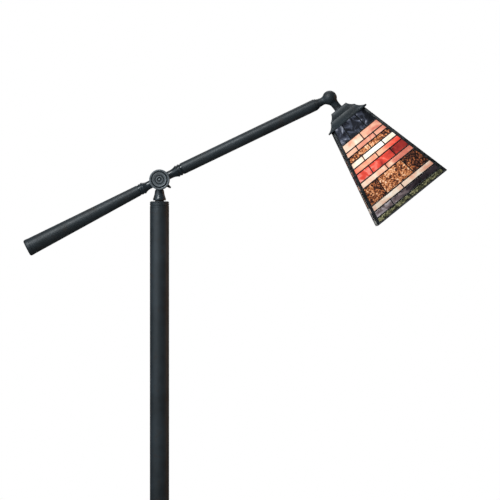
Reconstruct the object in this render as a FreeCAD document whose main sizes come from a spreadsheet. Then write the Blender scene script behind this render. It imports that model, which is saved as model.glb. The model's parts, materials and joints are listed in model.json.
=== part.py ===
import FreeCAD, Part
import math
import os
import types

import Sketcher

# Balance-arm floor lamp with a small square shade of leaded glass, in millimetres and degrees.
# The origin is the centre of the base's underside, +Z is up, and the arm lies in the XZ plane with
# the shade at +X. The arm and the shade are drawn at the angles where the lamp is seen at rest.

SIZES = {
    # clearances that many fits share
    "fit_gap": 0.05,
    "running_gap": 0.05,
    # base
    "base_diameter": 280.0,
    "base_height": 42.0,
    "base_rim_height": 13.0,
    "rim_round_width": 9.0,
    "rim_round_bulge": 2.6,
    "shoulder_fall": 1.0,
    "base_shoulder_width": 18.0,
    "base_shoulder_height": 22.0,
    "base_crown_diameter": 52.0,
    "crown_step_width": 10.0,
    "crown_step_height": 4.0,
    "cover_wall": 1.5,
    "pad_thickness": 3.0,
    "pad_inset": 4.0,
    "weight_inset": 7.0,
    "weight_edge_height": 9.0,
    "weight_height": 15.5,
    "weight_bevel": 12.0,
    "weight_hub_diameter": 50.0,
    "weight_hub_draft": 3.0,
    "recess_diameter": 40.0,
    "recess_depth": 9.0,
    "channel_width": 10.0,
    "cord_height": 8.2,
    "cord_bore": 7.2,
    "bushing_diameter": 9.0,
    "bushing_flange": 12.0,
    "bushing_flange_thickness": 2.8,
    "bushing_depth": 6.5,
    # rod, pole foot and pole
    "rod_diameter": 16.0,
    "rod_bore": 8.0,
    "rod_start": 5.0,
    "rod_end": 80.0,
    "base_washer_diameter": 34.0,
    "base_washer_thickness": 2.0,
    "base_nut_corners": 28.0,
    "base_nut_height": 5.5,
    "foot_diameter": 60.0,
    "foot_neck_diameter": 44.0,
    "foot_height": 29.0,
    "foot_edge": 3.0,
    "foot_collar_height": 5.0,
    "foot_seat": 8.0,
    "foot_spigot_height": 42.0,
    "pole_diameter": 38.5,
    "pole_wall": 1.5,
    "pole_joint_height": 560.0,
    "ring_height": 12.0,
    "ring_diameter": 43.0,
    "ring_step": 0.4,
    "coupler_length": 72.0,
    "coupler_bore": 26.0,
    "pole_lead_diameter": 7.0,
    # pole cap and swivel
    "pivot_height": 1220.0,
    "cap_drop": 43.2,
    "cap_collar": 12.8,
    "cap_plate": 10.8,
    "cap_plug": 24.0,
    "cap_cup_diameter": 29.0,
    "cap_edge": 1.6,
    "cap_groove_width": 1.6,
    "cap_groove_depth": 0.55,
    "cap_groove_1": 2.6,
    "cap_groove_2": 8.0,
    "lug_width": 3.6,
    "lug_length": 2.4,
    "lug_height": 3.6,
    "spigot_diameter": 14.0,
    "swivel_washer_diameter": 18.0,
    "swivel_washer_thickness": 1.6,
    "stop_ring_diameter": 23.0,
    "stop_ring_thickness": 3.0,
    "stop_finger_reach": 14.0,
    "stop_finger_width": 4.0,
    "swivel_nut_corners": 23.0,
    "swivel_nut_height": 7.0,
    "spigot_spare": 2.0,
    # yoke and pivot
    "neck_foot_diameter": 24.0,
    "neck_foot_edge": 1.9,
    "neck_diameter": 16.0,
    "neck_narrow_drop": 25.2,
    "neck_top_drop": 23.0,
    "neck_bore": 7.2,
    "fork_width": 13.0,
    "fork_setback": 1.6,
    "fork_start_drop": 36.0,
    "fork_full_drop": 28.0,
    "ear_diameter": 41.0,
    "ear_thickness": 5.0,
    "ear_rim_width": 4.0,
    "ear_rim_height": 2.0,
    "ear_bevel": 1.0,
    "hub_diameter": 39.0,
    "hub_width": 18.4,
    "hub_clearance": 0.4,
    "friction_thickness": 0.95,
    "friction_diameter": 30.0,
    "bolt_diameter": 8.0,
    "bolt_head_diameter": 30.6,
    "bolt_head_thickness": 2.9,
    "head_bead_width": 3.3,
    "head_groove_outer": 19.2,
    "head_groove_inner": 17.8,
    "head_recess_diameter": 8.8,
    "head_stud_diameter": 4.2,
    "bolt_spare": 2.0,
    "spring_diameter": 21.0,
    "spring_thickness": 1.0,
    "spring_cone": 1.5,
    "lever_boss_diameter": 18.0,
    "lever_boss_height": 10.0,
    "lever_boss_bevel": 2.0,
    "lever_reach": 26.8,
    "lever_tip_radius": 1.3,
    "lever_root_width": 17.0,
    "lever_thickness": 5.0,
    "lever_angle": 32.6,
    # arm
    "arm_rise": 25.7,
    "counterweight_drop": 27.4,
    "chamber_diameter": 26.0,
    "chamber_floor": 4.0,
    "hub_sleeve_wall": 1.5,
    "slot_width": 8.0,
    "slot_angle": 92.0,
    "slot_middle": 67.5,
    "stub_neck_diameter": 18.2,
    "stub_flare_diameter": 24.2,
    "stub_collar": 2.2,
    "front_stub_neck": 27.5,
    "front_stub_flare": 41.0,
    "rear_stub_neck": 26.0,
    "rear_stub_flare": 38.0,
    "stub_spigot_diameter": 12.0,
    "stub_spigot_length": 21.0,
    "ferrule_length": 7.7,
    "ferrule_diameter": 22.2,
    "ferrule_bead_diameter": 23.8,
    "ferrule_bead_width": 3.4,
    "rear_ferrule_length": 6.7,
    "rear_ferrule_diameter": 21.2,
    "rear_ferrule_bead_diameter": 22.6,
    "arm_tube_diameter": 23.5,
    "arm_tube_wall": 1.5,
    "plug_length": 16.0,
    "arm_lead_diameter": 5.0,
    "arm_lead_bore": 6.0,
    "tip_flange": 3.0,
    "tip_plug": 17.0,
    "tip_plate": 9.0,
    "tip_pocket_diameter": 17.0,
    "counterweight_small": 21.8,
    "counterweight_large": 33.7,
    "counterweight_end": 290.0,
    "counterweight_wall": 1.5,
    "core_gap": 0.35,
    "end_cap_length": 9.0,
    "end_cap_diameter": 34.4,
    "end_cap_round": 2.6,
    "end_cap_plug": 10.0,
    # ball joint
    "ball_reach": 377.8,
    "ball_diameter": 29.0,
    "ball_wall": 3.5,
    "ball_boss_diameter": 9.0,
    "ball_split": 0.05,
    "ball_clearance": 0.4,
    "end_neck_length": 27.7,
    "end_neck_diameter": 15.4,
    "end_neck_flare": 18.6,
    "ball_fillet_length": 3.0,
    "spindle_diameter": 10.0,
    "spindle_end": 44.0,
    "spindle_nut_corners": 15.6,
    "spindle_nut_height": 5.0,
    "ball_screw_diameter": 4.0,
    "ball_screw_head": 6.8,
    "ball_screw_head_height": 2.6,
    "ball_screw_seat": 9.0,
    "ball_washer_thickness": 0.8,
    # stem, canopy and crown
    "shade_drop": 51.0,
    "stem_diameter": 16.4,
    "stem_flare": 18.8,
    "stem_end_diameter": 18.0,
    "stem_length": 27.7,
    "stem_bell_length": 4.0,
    "nipple_diameter": 9.7,
    "nipple_bore": 6.2,
    "nipple_grip": 8.0,
    "nipple_spare": 8.0,
    "canopy_sheet": 1.0,
    "canopy_top_width": 37.0,
    "canopy_top_edge": 1.5,
    "canopy_top_spread": 0.5,
    "canopy_step_width": 59.8,
    "canopy_step_depth": 12.6,
    "canopy_step_lip": 0.6,
    "canopy_width": 94.0,
    "canopy_flare_depth": 27.2,
    "canopy_lip": 2.8,
    "canopy_first_sag": 0.9,
    "canopy_second_sag": 2.0,
    "nipple_nut_corners": 18.0,
    "nipple_nut_height": 3.5,
    "crown_depth": 54.5,
    "crown_thickness": 1.5,
    "crown_bar": 9.0,
    "crown_hub_margin": 2.0,
    # leaded panels
    "shade_top_width": 81.6,
    "shade_width": 177.0,
    "panel_thickness": 4.2,
    "glass_thickness": 2.6,
    "corner_width": 5.2,
    "came_width": 2.4,
    "side_came": 1.2,
    "rim_height": 3.0,
    "quarter_share": 0.46,
    "row_01_height": 35.5,
    "row_02_height": 16.5,
    "row_03_height": 10.5,
    "row_04_height": 12.1,
    "row_05_height": 11.5,
    "row_06_height": 11.7,
    "row_07_height": 18.3,
    "row_08_height": 12.1,
    "row_09_height": 36.8,
    "row_10_height": 12.1,
    "row_11_height": 13.3,
    "row_12_height": 10.2,
    # lamp holder and bulb
    "socket_diameter": 33.0,
    "socket_wall": 1.2,
    "socket_cap_height": 15.0,
    "socket_shell_height": 40.0,
    "core_top": 2.0,
    "core_floor": 10.0,
    "core_wall": 1.6,
    "bulb_base_diameter": 26.4,
    "bulb_base_height": 28.0,
    "bulb_base_wall": 0.6,
    "bulb_tip_diameter": 9.0,
    "bulb_tip_height": 4.0,
    "bulb_neck_seat": 6.0,
    "bulb_diameter": 48.0,
    "bulb_centre": 67.0,
    "bulb_glass": 1.0,
    "key_shaft_diameter": 3.2,
    "key_height": 7.0,
    "key_inner": 8.0,
    "key_paddle_start": 25.0,
    "key_paddle_length": 12.0,
    "key_paddle_width": 12.0,
    "key_paddle_thickness": 3.0,
}

# The glass of each row, from the canopy down. Rows alternate between three pieces and two.
ROW_GLASS = (
    "blue", "cream", "cream", "amber", "cream", "salmon",
    "red", "cream", "amber", "cream", "violet", "olive",
)

AXIS_X = FreeCAD.Vector(1, 0, 0)
AXIS_Y = FreeCAD.Vector(0, 1, 0)
AXIS_Z = FreeCAD.Vector(0, 0, 1)

doc = FreeCAD.newDocument("floor_lamp")
sheet = doc.addObject("Spreadsheet::Sheet", "Sizes")
for line, (alias, value) in enumerate(SIZES.items(), 1):
    sheet.set(f"A{line}", alias)
    sheet.set(f"B{line}", str(value))
    sheet.setAlias(f"B{line}", alias)
doc.recompute()


class Size:
    """A length that carries its number and the sheet expression that it comes from."""

    def __init__(self, number, text=None):
        self.number = float(number)
        self.text = text or f"{self.number:.6f}"

    def combine(self, sign, other, number):
        return Size(number, f"({self.text} {sign} {other.text})")

    def __add__(self, other):
        other = as_size(other)
        return self.combine("+", other, self.number + other.number)

    def __sub__(self, other):
        other = as_size(other)
        return self.combine("-", other, self.number - other.number)

    def __mul__(self, other):
        other = as_size(other)
        return self.combine("*", other, self.number * other.number)

    def __truediv__(self, other):
        other = as_size(other)
        return self.combine("/", other, self.number / other.number)

    def __neg__(self):
        return Size(0) - self


def as_size(value):
    return value if isinstance(value, Size) else Size(value)


size = types.SimpleNamespace(**{name: Size(sheet.get(name), f"Sizes.{name}") for name in SIZES})
ZERO = Size(0)


def between(start, end, share):
    return start + (end - start) * share


# Building blocks

def set_size(thing, prop, value):
    value = as_size(value)
    thing.setExpression(prop, value.text)


def shift(thing, x=None, y=None, z=None):
    """Moves a piece of a boolean to a place that follows the sheet."""
    for axis, value in (("x", x), ("y", y), ("z", z)):
        if value is not None:
            set_size(thing, f"Placement.Base.{axis}", value)
    return thing


def hold_point(sketch, edge, end, x, y):
    for kind, value, axis in (("DistanceX", x, -2), ("DistanceY", y, -1)):
        if value is ZERO:
            sketch.addConstraint(Sketcher.Constraint("PointOnObject", edge, end, axis))
        else:
            held = sketch.addConstraint(
                Sketcher.Constraint(kind, -1, 1, edge, end, value.number))
            sketch.setExpression(f"Constraints[{held}]", value.text)


def point_of(place):
    return FreeCAD.Vector(place[0].number, place[1].number, 0)


def dome_middle(start, end):
    """Middle of the arc between two points when one of them, and the arc's centre, are on Z."""
    foot, tip = (start, end) if end.x == 0 else (end, start)
    centre = (tip.y ** 2 - foot.y ** 2 - foot.x ** 2) / (2 * (tip.y - foot.y))
    foot_angle = math.atan2(foot.y - centre, foot.x)
    angle = (foot_angle + math.copysign(math.pi / 2, tip.y - centre)) / 2
    radius = abs(tip.y - centre)
    return FreeCAD.Vector(radius * math.cos(angle), centre + radius * math.sin(angle), 0)


def draw_outline(sketch, points):
    """A closed outline. Each point is (x, y), and (x, y, "via") is a point on the arc between
    the two points around it. "dome" stands for an arc up to the axis that meets it squarely.
    Every point is held by its two distances from the origin."""
    corners = []
    for point in points:
        if point == "dome":
            corners[-1]["via"] = point
            continue
        x, y, *via = point
        if via:
            corners[-1]["via"] = (as_size(x), as_size(y))
        else:
            corners.append({"at": (as_size(x), as_size(y)), "via": None})
    edges = []
    for corner, after in zip(corners, corners[1:] + corners[:1]):
        start = point_of(corner["at"])
        end = point_of(after["at"])
        if corner["via"] is None:
            edge = sketch.addGeometry(Part.LineSegment(start, end), False)
            edges.append((edge, 1, 2))
            continue
        dome = corner["via"] == "dome"
        middle = dome_middle(start, end) if dome else point_of(corner["via"])
        if (middle - start).cross(end - middle).z > 0:
            edge = sketch.addGeometry(Part.ArcOfCircle(start, middle, end), False)
            edges.append((edge, 1, 2))
        else:
            edge = sketch.addGeometry(Part.ArcOfCircle(end, middle, start), False)
            edges.append((edge, 2, 1))
        if dome:
            sketch.addConstraint(Sketcher.Constraint("PointOnObject", edge, 3, -2))
            continue
        mark = sketch.addGeometry(Part.Point(middle), True)
        hold_point(sketch, mark, 1, *corner["via"])
        sketch.addConstraint(Sketcher.Constraint("PointOnObject", mark, 1, edge))
    for corner, here, before in zip(corners, edges, edges[-1:] + edges[:-1]):
        hold_point(sketch, here[0], here[1], *corner["at"])
        sketch.addConstraint(
            Sketcher.Constraint("Coincident", before[0], before[2], here[0], here[1]))


def new_sketch(label, role):
    body = doc.addObject("PartDesign::Body", label)
    sketch = body.newObject("Sketcher::SketchObject", f"{label}_outline")
    plane = [part for part in body.Origin.OriginFeatures if part.Role == role][0]
    sketch.AttachmentSupport = [(plane, "")]
    sketch.MapMode = "FlatFace"
    return body, sketch


def turned(label, points, angle=None):
    """A piece turned about Z from its half section of (radius, height) points."""
    body, sketch = new_sketch(label, "XZ_Plane")
    draw_outline(sketch, points)
    turn = body.newObject("PartDesign::Revolution", f"{label}_turn")
    turn.Profile = sketch
    turn.ReferenceAxis = (sketch, ["V_Axis"])
    turn.Angle = 360.0
    if angle is not None:
        turn.Midplane = True
        set_size(turn, "Angle", angle)
    return body


def extruded(label, role, points, depth):
    """A piece of one outline, as thick as depth, half to each side of its plane."""
    body, sketch = new_sketch(label, role)
    draw_outline(sketch, points)
    pad = body.newObject("PartDesign::Pad", f"{label}_pad")
    pad.Profile = sketch
    pad.Midplane = True
    set_size(pad, "Length", depth)
    return body


def ring(label, bore, outside, low, high):
    return turned(label, [(bore, low), (outside, low), (outside, high), (bore, high)])


def cylinder(label, radius, low, high):
    piece = doc.addObject("Part::Cylinder", label)
    set_size(piece, "Radius", radius)
    set_size(piece, "Height", as_size(high) - low)
    return shift(piece, z=low)


def box(label, low, high):
    piece = doc.addObject("Part::Box", label)
    low = [as_size(value) for value in low]
    high = [as_size(value) for value in high]
    for prop, start, end in zip(("Length", "Width", "Height"), low, high):
        set_size(piece, prop, end - start)
    return shift(piece, *low)


def sphere(label, radius):
    piece = doc.addObject("Part::Sphere", label)
    set_size(piece, "Radius", radius)
    return piece


def fuse(label, pieces):
    joined = doc.addObject("Part::MultiFuse", label)
    joined.Shapes = pieces
    return joined


def common(label, pieces):
    shared = doc.addObject("Part::MultiCommon", label)
    shared.Shapes = pieces
    return shared


def cut(label, base, tools):
    less = doc.addObject("Part::Cut", label)
    less.Base = base
    less.Tool = tools[0] if len(tools) == 1 else fuse(f"{label}_tools", tools)
    return less


def group(label, pieces):
    together = doc.addObject("Part::Compound", label)
    together.Links = pieces
    return together


def hex_nut(label, corners, bore, low, high):
    blank = doc.addObject("Part::Prism", f"{label}_blank")
    blank.Polygon = 6
    set_size(blank, "Circumradius", corners / 2)
    set_size(blank, "Height", high - low)
    shift(blank, z=low)
    return cut(label, blank, [cylinder(f"{label}_bore", bore, low - 1, high + 1)])


def turn_to(thing, rotation):
    thing.Placement = FreeCAD.Placement(thing.Placement.Base, rotation)
    return thing


def about_y(angle):
    return FreeCAD.Rotation(AXIS_Y, angle)


# Frames. Each has its own origin, and its Z axis runs along the pieces that are turned in it.

pivot_point = FreeCAD.Vector(0, 0, size.pivot_height.number)
arm_turn = about_y(90 - size.arm_rise.number)
rear_turn = about_y(-90 - size.counterweight_drop.number)
across_turn = FreeCAD.Rotation(AXIS_X, -90)
ball_point = pivot_point + arm_turn.multVec(AXIS_Z) * size.ball_reach.number

FLOOR = FreeCAD.Placement()
PIVOT = FreeCAD.Placement(pivot_point, FreeCAD.Rotation())
BOLT = FreeCAD.Placement(pivot_point, across_turn)
FRONT_ARM = FreeCAD.Placement(pivot_point, arm_turn)
REAR_ARM = FreeCAD.Placement(pivot_point, rear_turn)
BALL = FreeCAD.Placement(ball_point, about_y(-90 - size.arm_rise.number))
BALL_SCREW = FreeCAD.Placement(ball_point, across_turn)
SHADE = FreeCAD.Placement(ball_point, about_y(90 + size.shade_drop.number))

nodes = {}


def keep(name, thing, frame=FLOOR):
    """Names a finished sub-part and puts it where its frame is."""
    thing.Label = name
    thing.Placement = frame
    nodes[name] = thing


# Base: felt pad, cast weight, spun cover and the cord's bushing

base_radius = size.base_diameter / 2
cover_inside = base_radius - size.cover_wall
weight_radius = base_radius - size.weight_inset
weight_top = size.pad_thickness + size.weight_height
weight_hub_top = size.base_height - size.cover_wall
recess_top = size.pad_thickness + size.recess_depth
rod_radius = size.rod_diameter / 2
rod_hole = rod_radius + size.fit_gap * 6

pad = cylinder("pad_disc", base_radius - size.pad_inset, ZERO, size.pad_thickness)
keep("base_pad", group("pad", [pad]))

weight_blank = turned("weight_blank", [
    (size.recess_diameter / 2, size.pad_thickness),
    (weight_radius, size.pad_thickness),
    (weight_radius, size.pad_thickness + size.weight_edge_height),
    (weight_radius - size.weight_bevel, weight_top),
    (size.weight_hub_diameter / 2 + size.weight_hub_draft, weight_top),
    (size.weight_hub_diameter / 2, weight_hub_top),
    (rod_hole, weight_hub_top),
    (rod_hole, recess_top),
    (size.recess_diameter / 2, recess_top),
])
cord_channel = box(
    "cord_channel",
    (-size.channel_width / 2, ZERO, size.pad_thickness - 1),
    (size.channel_width / 2, base_radius, recess_top))
keep("base_weight", cut("weight", weight_blank, [cord_channel]))


def cover_outline(inset):
    """Half section of the spun cover's outer face, or of its inner face when inset by the wall."""
    shoulder = base_radius - size.base_shoulder_width
    crown = size.base_crown_diameter / 2
    rim_top = size.base_rim_height - inset / 2
    shoulder_top = size.base_shoulder_height - inset
    crown_top = size.base_height - inset
    crown_foot = crown + size.crown_step_width + inset / 2
    crown_foot_top = crown_top - size.crown_step_height
    return [
        (base_radius - inset, rim_top),
        (base_radius - inset - size.rim_round_bulge, between(rim_top, shoulder_top, 0.72), "via"),
        (base_radius - inset - size.rim_round_width, shoulder_top - size.shoulder_fall),
        (shoulder, shoulder_top),
        (between(shoulder, crown_foot, 0.5), between(shoulder_top, crown_foot_top, 0.36), "via"),
        (crown_foot, crown_foot_top),
        (crown, crown_top),
    ]


outer_face = cover_outline(ZERO)
inner_face = cover_outline(size.cover_wall)
inner_back = inner_face[::-1]
cover_blank = turned("cover_blank", [
    (base_radius, size.pad_thickness),
    *outer_face,
    (rod_hole, size.base_height),
    (rod_hole, weight_hub_top),
    *inner_back,
    (cover_inside, size.pad_thickness),
])
bushing_hole = turn_to(
    cylinder("bushing_hole", size.bushing_diameter / 2 + size.fit_gap, ZERO, size.base_diameter),
    across_turn)
shift(bushing_hole, z=size.cord_height)
keep("base_cover", cut("cover", cover_blank, [bushing_hole]))

flange_start = base_radius + size.fit_gap
bushing = turned("bushing", [
    (size.cord_bore / 2, flange_start - size.bushing_depth),
    (size.bushing_diameter / 2, flange_start - size.bushing_depth),
    (size.bushing_diameter / 2, flange_start),
    (size.bushing_flange / 2, flange_start),
    (size.bushing_flange / 2, flange_start + size.bushing_flange_thickness * 0.6),
    (size.bushing_flange / 2 - 1, flange_start + size.bushing_flange_thickness),
    (size.cord_bore / 2, flange_start + size.bushing_flange_thickness),
])
keep("cord_bushing", bushing,
     FreeCAD.Placement(AXIS_Z * size.cord_height.number, across_turn))

# Base fasteners: threaded rod, washer and lock nut in the recess under the weight

keep("base_rod", ring("rod", size.rod_bore / 2, rod_radius, size.rod_start, size.rod_end))
keep("base_washer", ring(
    "base_washer_ring", rod_radius + size.fit_gap, size.base_washer_diameter / 2,
    recess_top - size.base_washer_thickness, recess_top))
nut_top = recess_top - size.base_washer_thickness
keep("base_lock_nut", hex_nut(
    "lock_nut", size.base_nut_corners, rod_radius + size.fit_gap,
    nut_top - size.base_nut_height, nut_top))

# Pole: foot, two tube sections, the ring and coupler between them

pole_radius = size.pole_diameter / 2
pole_inside = pole_radius - size.pole_wall
foot_radius = size.foot_diameter / 2
foot_neck = size.foot_neck_diameter / 2
foot_top = size.base_height + size.foot_height
seat_height = size.base_height + size.foot_seat
foot_flare_top = foot_top - size.foot_collar_height
keep("pole_foot", turned("foot", [
    (rod_radius + size.fit_gap, size.base_height),
    (foot_radius, size.base_height),
    (foot_radius, size.base_height + size.foot_edge),
    (between(foot_radius, foot_neck, 0.74),
     between(size.base_height + size.foot_edge, foot_flare_top, 0.36), "via"),
    (foot_neck, foot_flare_top),
    (foot_neck, foot_top),
    (pole_radius + size.fit_gap, foot_top),
    (pole_radius + size.fit_gap, seat_height),
    (pole_inside - size.fit_gap, seat_height),
    (pole_inside - size.fit_gap, size.base_height + size.foot_spigot_height),
    (rod_radius + size.fit_gap, size.base_height + size.foot_spigot_height),
]))

ring_bottom = size.pole_joint_height - size.ring_height
cap_top = size.pivot_height - size.cap_drop
collar_bottom = cap_top - size.cap_collar
keep("pole_lower", ring("lower_tube", pole_inside, pole_radius, seat_height, ring_bottom))
keep("pole_upper", ring(
    "upper_tube", pole_inside, pole_radius, size.pole_joint_height, collar_bottom))
ring_edge = pole_radius + size.ring_step
keep("pole_joint_ring", turned("joint_ring", [
    (pole_inside, ring_bottom),
    (ring_edge, ring_bottom),
    (size.ring_diameter / 2, ring_bottom + size.ring_height / 2, "via"),
    (ring_edge, size.pole_joint_height),
    (pole_inside, size.pole_joint_height),
]))
ring_middle = ring_bottom + size.ring_height / 2
keep("pole_coupler", ring(
    "coupler", size.coupler_bore / 2, pole_inside - size.fit_gap,
    ring_middle - size.coupler_length / 2, ring_middle + size.coupler_length / 2))

# Pole cap: ringed collar on top of the tube, plug inside it, and the lug that stops the swivel

cup_radius = size.cap_cup_diameter / 2
spigot_radius = size.spigot_diameter / 2
spigot_hole = spigot_radius + size.running_gap
plate_bottom = cap_top - size.cap_plate
plug_radius = pole_inside - size.fit_gap
groove_radius = pole_radius - size.cap_groove_depth
groove_1 = cap_top - size.cap_groove_1
groove_2 = cap_top - size.cap_groove_2
cap_blank = turned("cap_blank", [
    (spigot_hole, cap_top),
    (pole_radius - size.cap_edge, cap_top),
    (pole_radius - size.cap_edge * 0.293, cap_top - size.cap_edge * 0.293, "via"),
    (pole_radius, cap_top - size.cap_edge),
    (pole_radius, groove_1),
    (groove_radius, groove_1),
    (groove_radius, groove_1 - size.cap_groove_width),
    (pole_radius, groove_1 - size.cap_groove_width),
    (pole_radius, groove_2),
    (groove_radius, groove_2),
    (groove_radius, groove_2 - size.cap_groove_width),
    (pole_radius, groove_2 - size.cap_groove_width),
    (pole_radius, collar_bottom),
    (plug_radius, collar_bottom),
    (plug_radius, collar_bottom - size.cap_plug),
    (cup_radius, collar_bottom - size.cap_plug),
    (cup_radius, plate_bottom),
    (spigot_hole, plate_bottom),
])
stop_lug = box(
    "stop_lug",
    (-cup_radius - 1, -size.lug_width / 2, plate_bottom - size.lug_height),
    (-cup_radius + size.lug_length, size.lug_width / 2, plate_bottom + 1))
keep("pole_cap", fuse("cap", [cap_blank, stop_lug]))

# Swivel: washer under the yoke, stop ring with a finger and nut inside the cap.
# From here to the tension lever, heights are counted from the pivot.

cap_level = -size.cap_drop
plate_level = cap_level - size.cap_plate
neck_foot_level = cap_level + size.swivel_washer_thickness + size.running_gap * 2
keep("swivel_washer", ring(
    "swivel_ring", spigot_radius + size.fit_gap, size.swivel_washer_diameter / 2,
    cap_level + size.running_gap, neck_foot_level - size.running_gap), PIVOT)

stop_top = plate_level - size.running_gap
stop_bottom = stop_top - size.stop_ring_thickness
stop_disc = cylinder("stop_disc", size.stop_ring_diameter / 2, stop_bottom, stop_top)
stop_finger = box(
    "stop_finger",
    (spigot_radius + 2, -size.stop_finger_width / 2, stop_bottom),
    (size.stop_finger_reach, size.stop_finger_width / 2, stop_top))
stop_bore = cylinder("stop_bore", spigot_radius + size.fit_gap, stop_bottom - 1, stop_top + 1)
keep("swivel_stop", cut(
    "stop_ring", fuse("stop_blank", [stop_disc, stop_finger]), [stop_bore]), PIVOT)

swivel_nut_top = stop_bottom - size.fit_gap
swivel_nut_bottom = swivel_nut_top - size.swivel_nut_height
keep("swivel_nut", hex_nut(
    "retaining_nut", size.swivel_nut_corners, spigot_radius + size.fit_gap,
    swivel_nut_bottom, swivel_nut_top), PIVOT)

# Lead inside the pole, from the rod's lower end to just under the swivel spigot

spigot_end = swivel_nut_bottom - size.spigot_spare
pole_lead = cylinder(
    "pole_wire", size.pole_lead_diameter / 2, size.rod_start,
    size.pivot_height + spigot_end - 1)
keep("pole_lead", group("pole_wires", [pole_lead]))

# Yoke: bell-shaped neck with its spigot, and a fork with two ears around the hub

hub_half = size.hub_width / 2
ear_inside = hub_half + size.friction_thickness + size.running_gap * 2
ear_outside = ear_inside + size.ear_thickness
ear_radius = size.ear_diameter / 2
neck_radius = size.neck_diameter / 2
foot_edge_level = neck_foot_level + size.neck_foot_edge
neck_foot = size.neck_foot_diameter / 2
neck = turned("neck", [
    (ZERO, spigot_end),
    (spigot_radius, spigot_end),
    (spigot_radius, neck_foot_level),
    (neck_foot, neck_foot_level),
    (neck_foot, foot_edge_level),
    (between(neck_foot, neck_radius, 0.76),
     between(foot_edge_level, -size.neck_narrow_drop, 0.42), "via"),
    (neck_radius, -size.neck_narrow_drop),
    (neck_radius, -size.neck_top_drop),
    (ZERO, -size.neck_top_drop),
])
fork_half = ear_outside - size.fork_setback
fork_top = -size.hub_diameter / 4
fork = extruded("fork", "YZ_Plane", [
    (-neck_radius + 1, -size.fork_start_drop),
    (neck_radius - 1, -size.fork_start_drop),
    (fork_half, -size.fork_full_drop),
    (fork_half, fork_top),
    (-fork_half, fork_top),
    (-fork_half, -size.fork_full_drop),
], size.fork_width)
rim_inside = ear_radius - size.ear_rim_width
rim_side = ear_outside + size.ear_rim_height * 0.35
front_ear = turn_to(turned("front_ear", [
    (ZERO, -ear_inside),
    (ear_radius, -ear_inside),
    (ear_radius, -rim_side),
    (between(rim_inside, ear_radius, 0.5), -ear_outside - size.ear_rim_height, "via"),
    (rim_inside, -rim_side),
    (rim_inside, -ear_outside),
    (ZERO, -ear_outside),
]), across_turn)
rear_ear = turn_to(turned("rear_ear", [
    (ZERO, ear_inside),
    (ear_radius, ear_inside),
    (ear_radius, ear_outside - size.ear_bevel),
    (ear_radius - size.ear_bevel, ear_outside),
    (ZERO, ear_outside),
]), across_turn)
hub_space = cylinder(
    "hub_space", size.hub_diameter / 2 + size.hub_clearance, -ear_inside, ear_inside)
turn_to(hub_space, across_turn)
shift(hub_space, y=-ear_inside, z=ZERO)
bolt_radius = size.bolt_diameter / 2
bolt_hole = cylinder("bolt_hole", bolt_radius + size.fit_gap, ZERO, size.ear_diameter * 2)
turn_to(bolt_hole, across_turn)
shift(bolt_hole, y=-size.ear_diameter)
neck_bore = cylinder("neck_bore", size.neck_bore / 2, spigot_end - 1, -size.hub_diameter / 4)
keep("yoke", cut(
    "yoke_casting", fuse("yoke_blank", [neck, fork, front_ear, rear_ear]),
    [hub_space, bolt_hole, neck_bore]), PIVOT)

# Pivot bolt: dished head with ring grooves and a centre stud, shank to the lever behind

head_radius = size.bolt_head_diameter / 2
head_back = -ear_outside - size.fit_gap
head_front = head_back - size.bolt_head_thickness
dish = head_back - size.bolt_head_thickness * 0.72
bead_side = head_back - size.bolt_head_thickness * 0.76
groove_floor = head_back - size.bolt_head_thickness * 0.5
recess_floor = head_back - size.bolt_head_thickness * 0.3
stud_radius = size.head_stud_diameter / 2
spring_end = ear_outside + size.fit_gap + size.spring_thickness + size.spring_cone
lever_start = spring_end + size.running_gap
bolt_end = lever_start + size.lever_boss_height + size.bolt_spare
keep("pivot_bolt", turned("bolt", [
    (ZERO, bead_side),
    "dome",
    (stud_radius, groove_floor),
    (stud_radius, recess_floor),
    (size.head_recess_diameter / 2, recess_floor),
    (size.head_recess_diameter / 2, dish),
    (size.head_groove_inner / 2, dish),
    (size.head_groove_inner / 2, groove_floor),
    (size.head_groove_outer / 2, groove_floor),
    (size.head_groove_outer / 2, dish),
    (head_radius - size.head_bead_width, bead_side),
    (head_radius - size.head_bead_width / 2, head_front, "via"),
    (head_radius, bead_side),
    (head_radius, head_back),
    (bolt_radius, head_back),
    (bolt_radius, bolt_end),
    (ZERO, bolt_end),
]), BOLT)

# Friction washers on both sides of the hub, and the disc spring behind the rear ear

washer_bore = bolt_radius + size.fit_gap * 2
washer_inner = hub_half + size.running_gap
washer_outer = washer_inner + size.friction_thickness
keep("friction_washers", group("friction_pair", [
    ring("front_friction", washer_bore, size.friction_diameter / 2, -washer_outer, -washer_inner),
    ring("rear_friction", washer_bore, size.friction_diameter / 2, washer_inner, washer_outer),
]), BOLT)
spring_start = ear_outside + size.fit_gap
keep("disc_spring", turned("spring", [
    (size.spring_diameter / 2, spring_start),
    (size.spring_diameter / 2, spring_start + size.spring_thickness),
    (washer_bore, spring_end),
    (washer_bore, spring_end - size.spring_thickness),
]), BOLT)

# Tension lever: threaded boss with one short tapered arm

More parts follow.
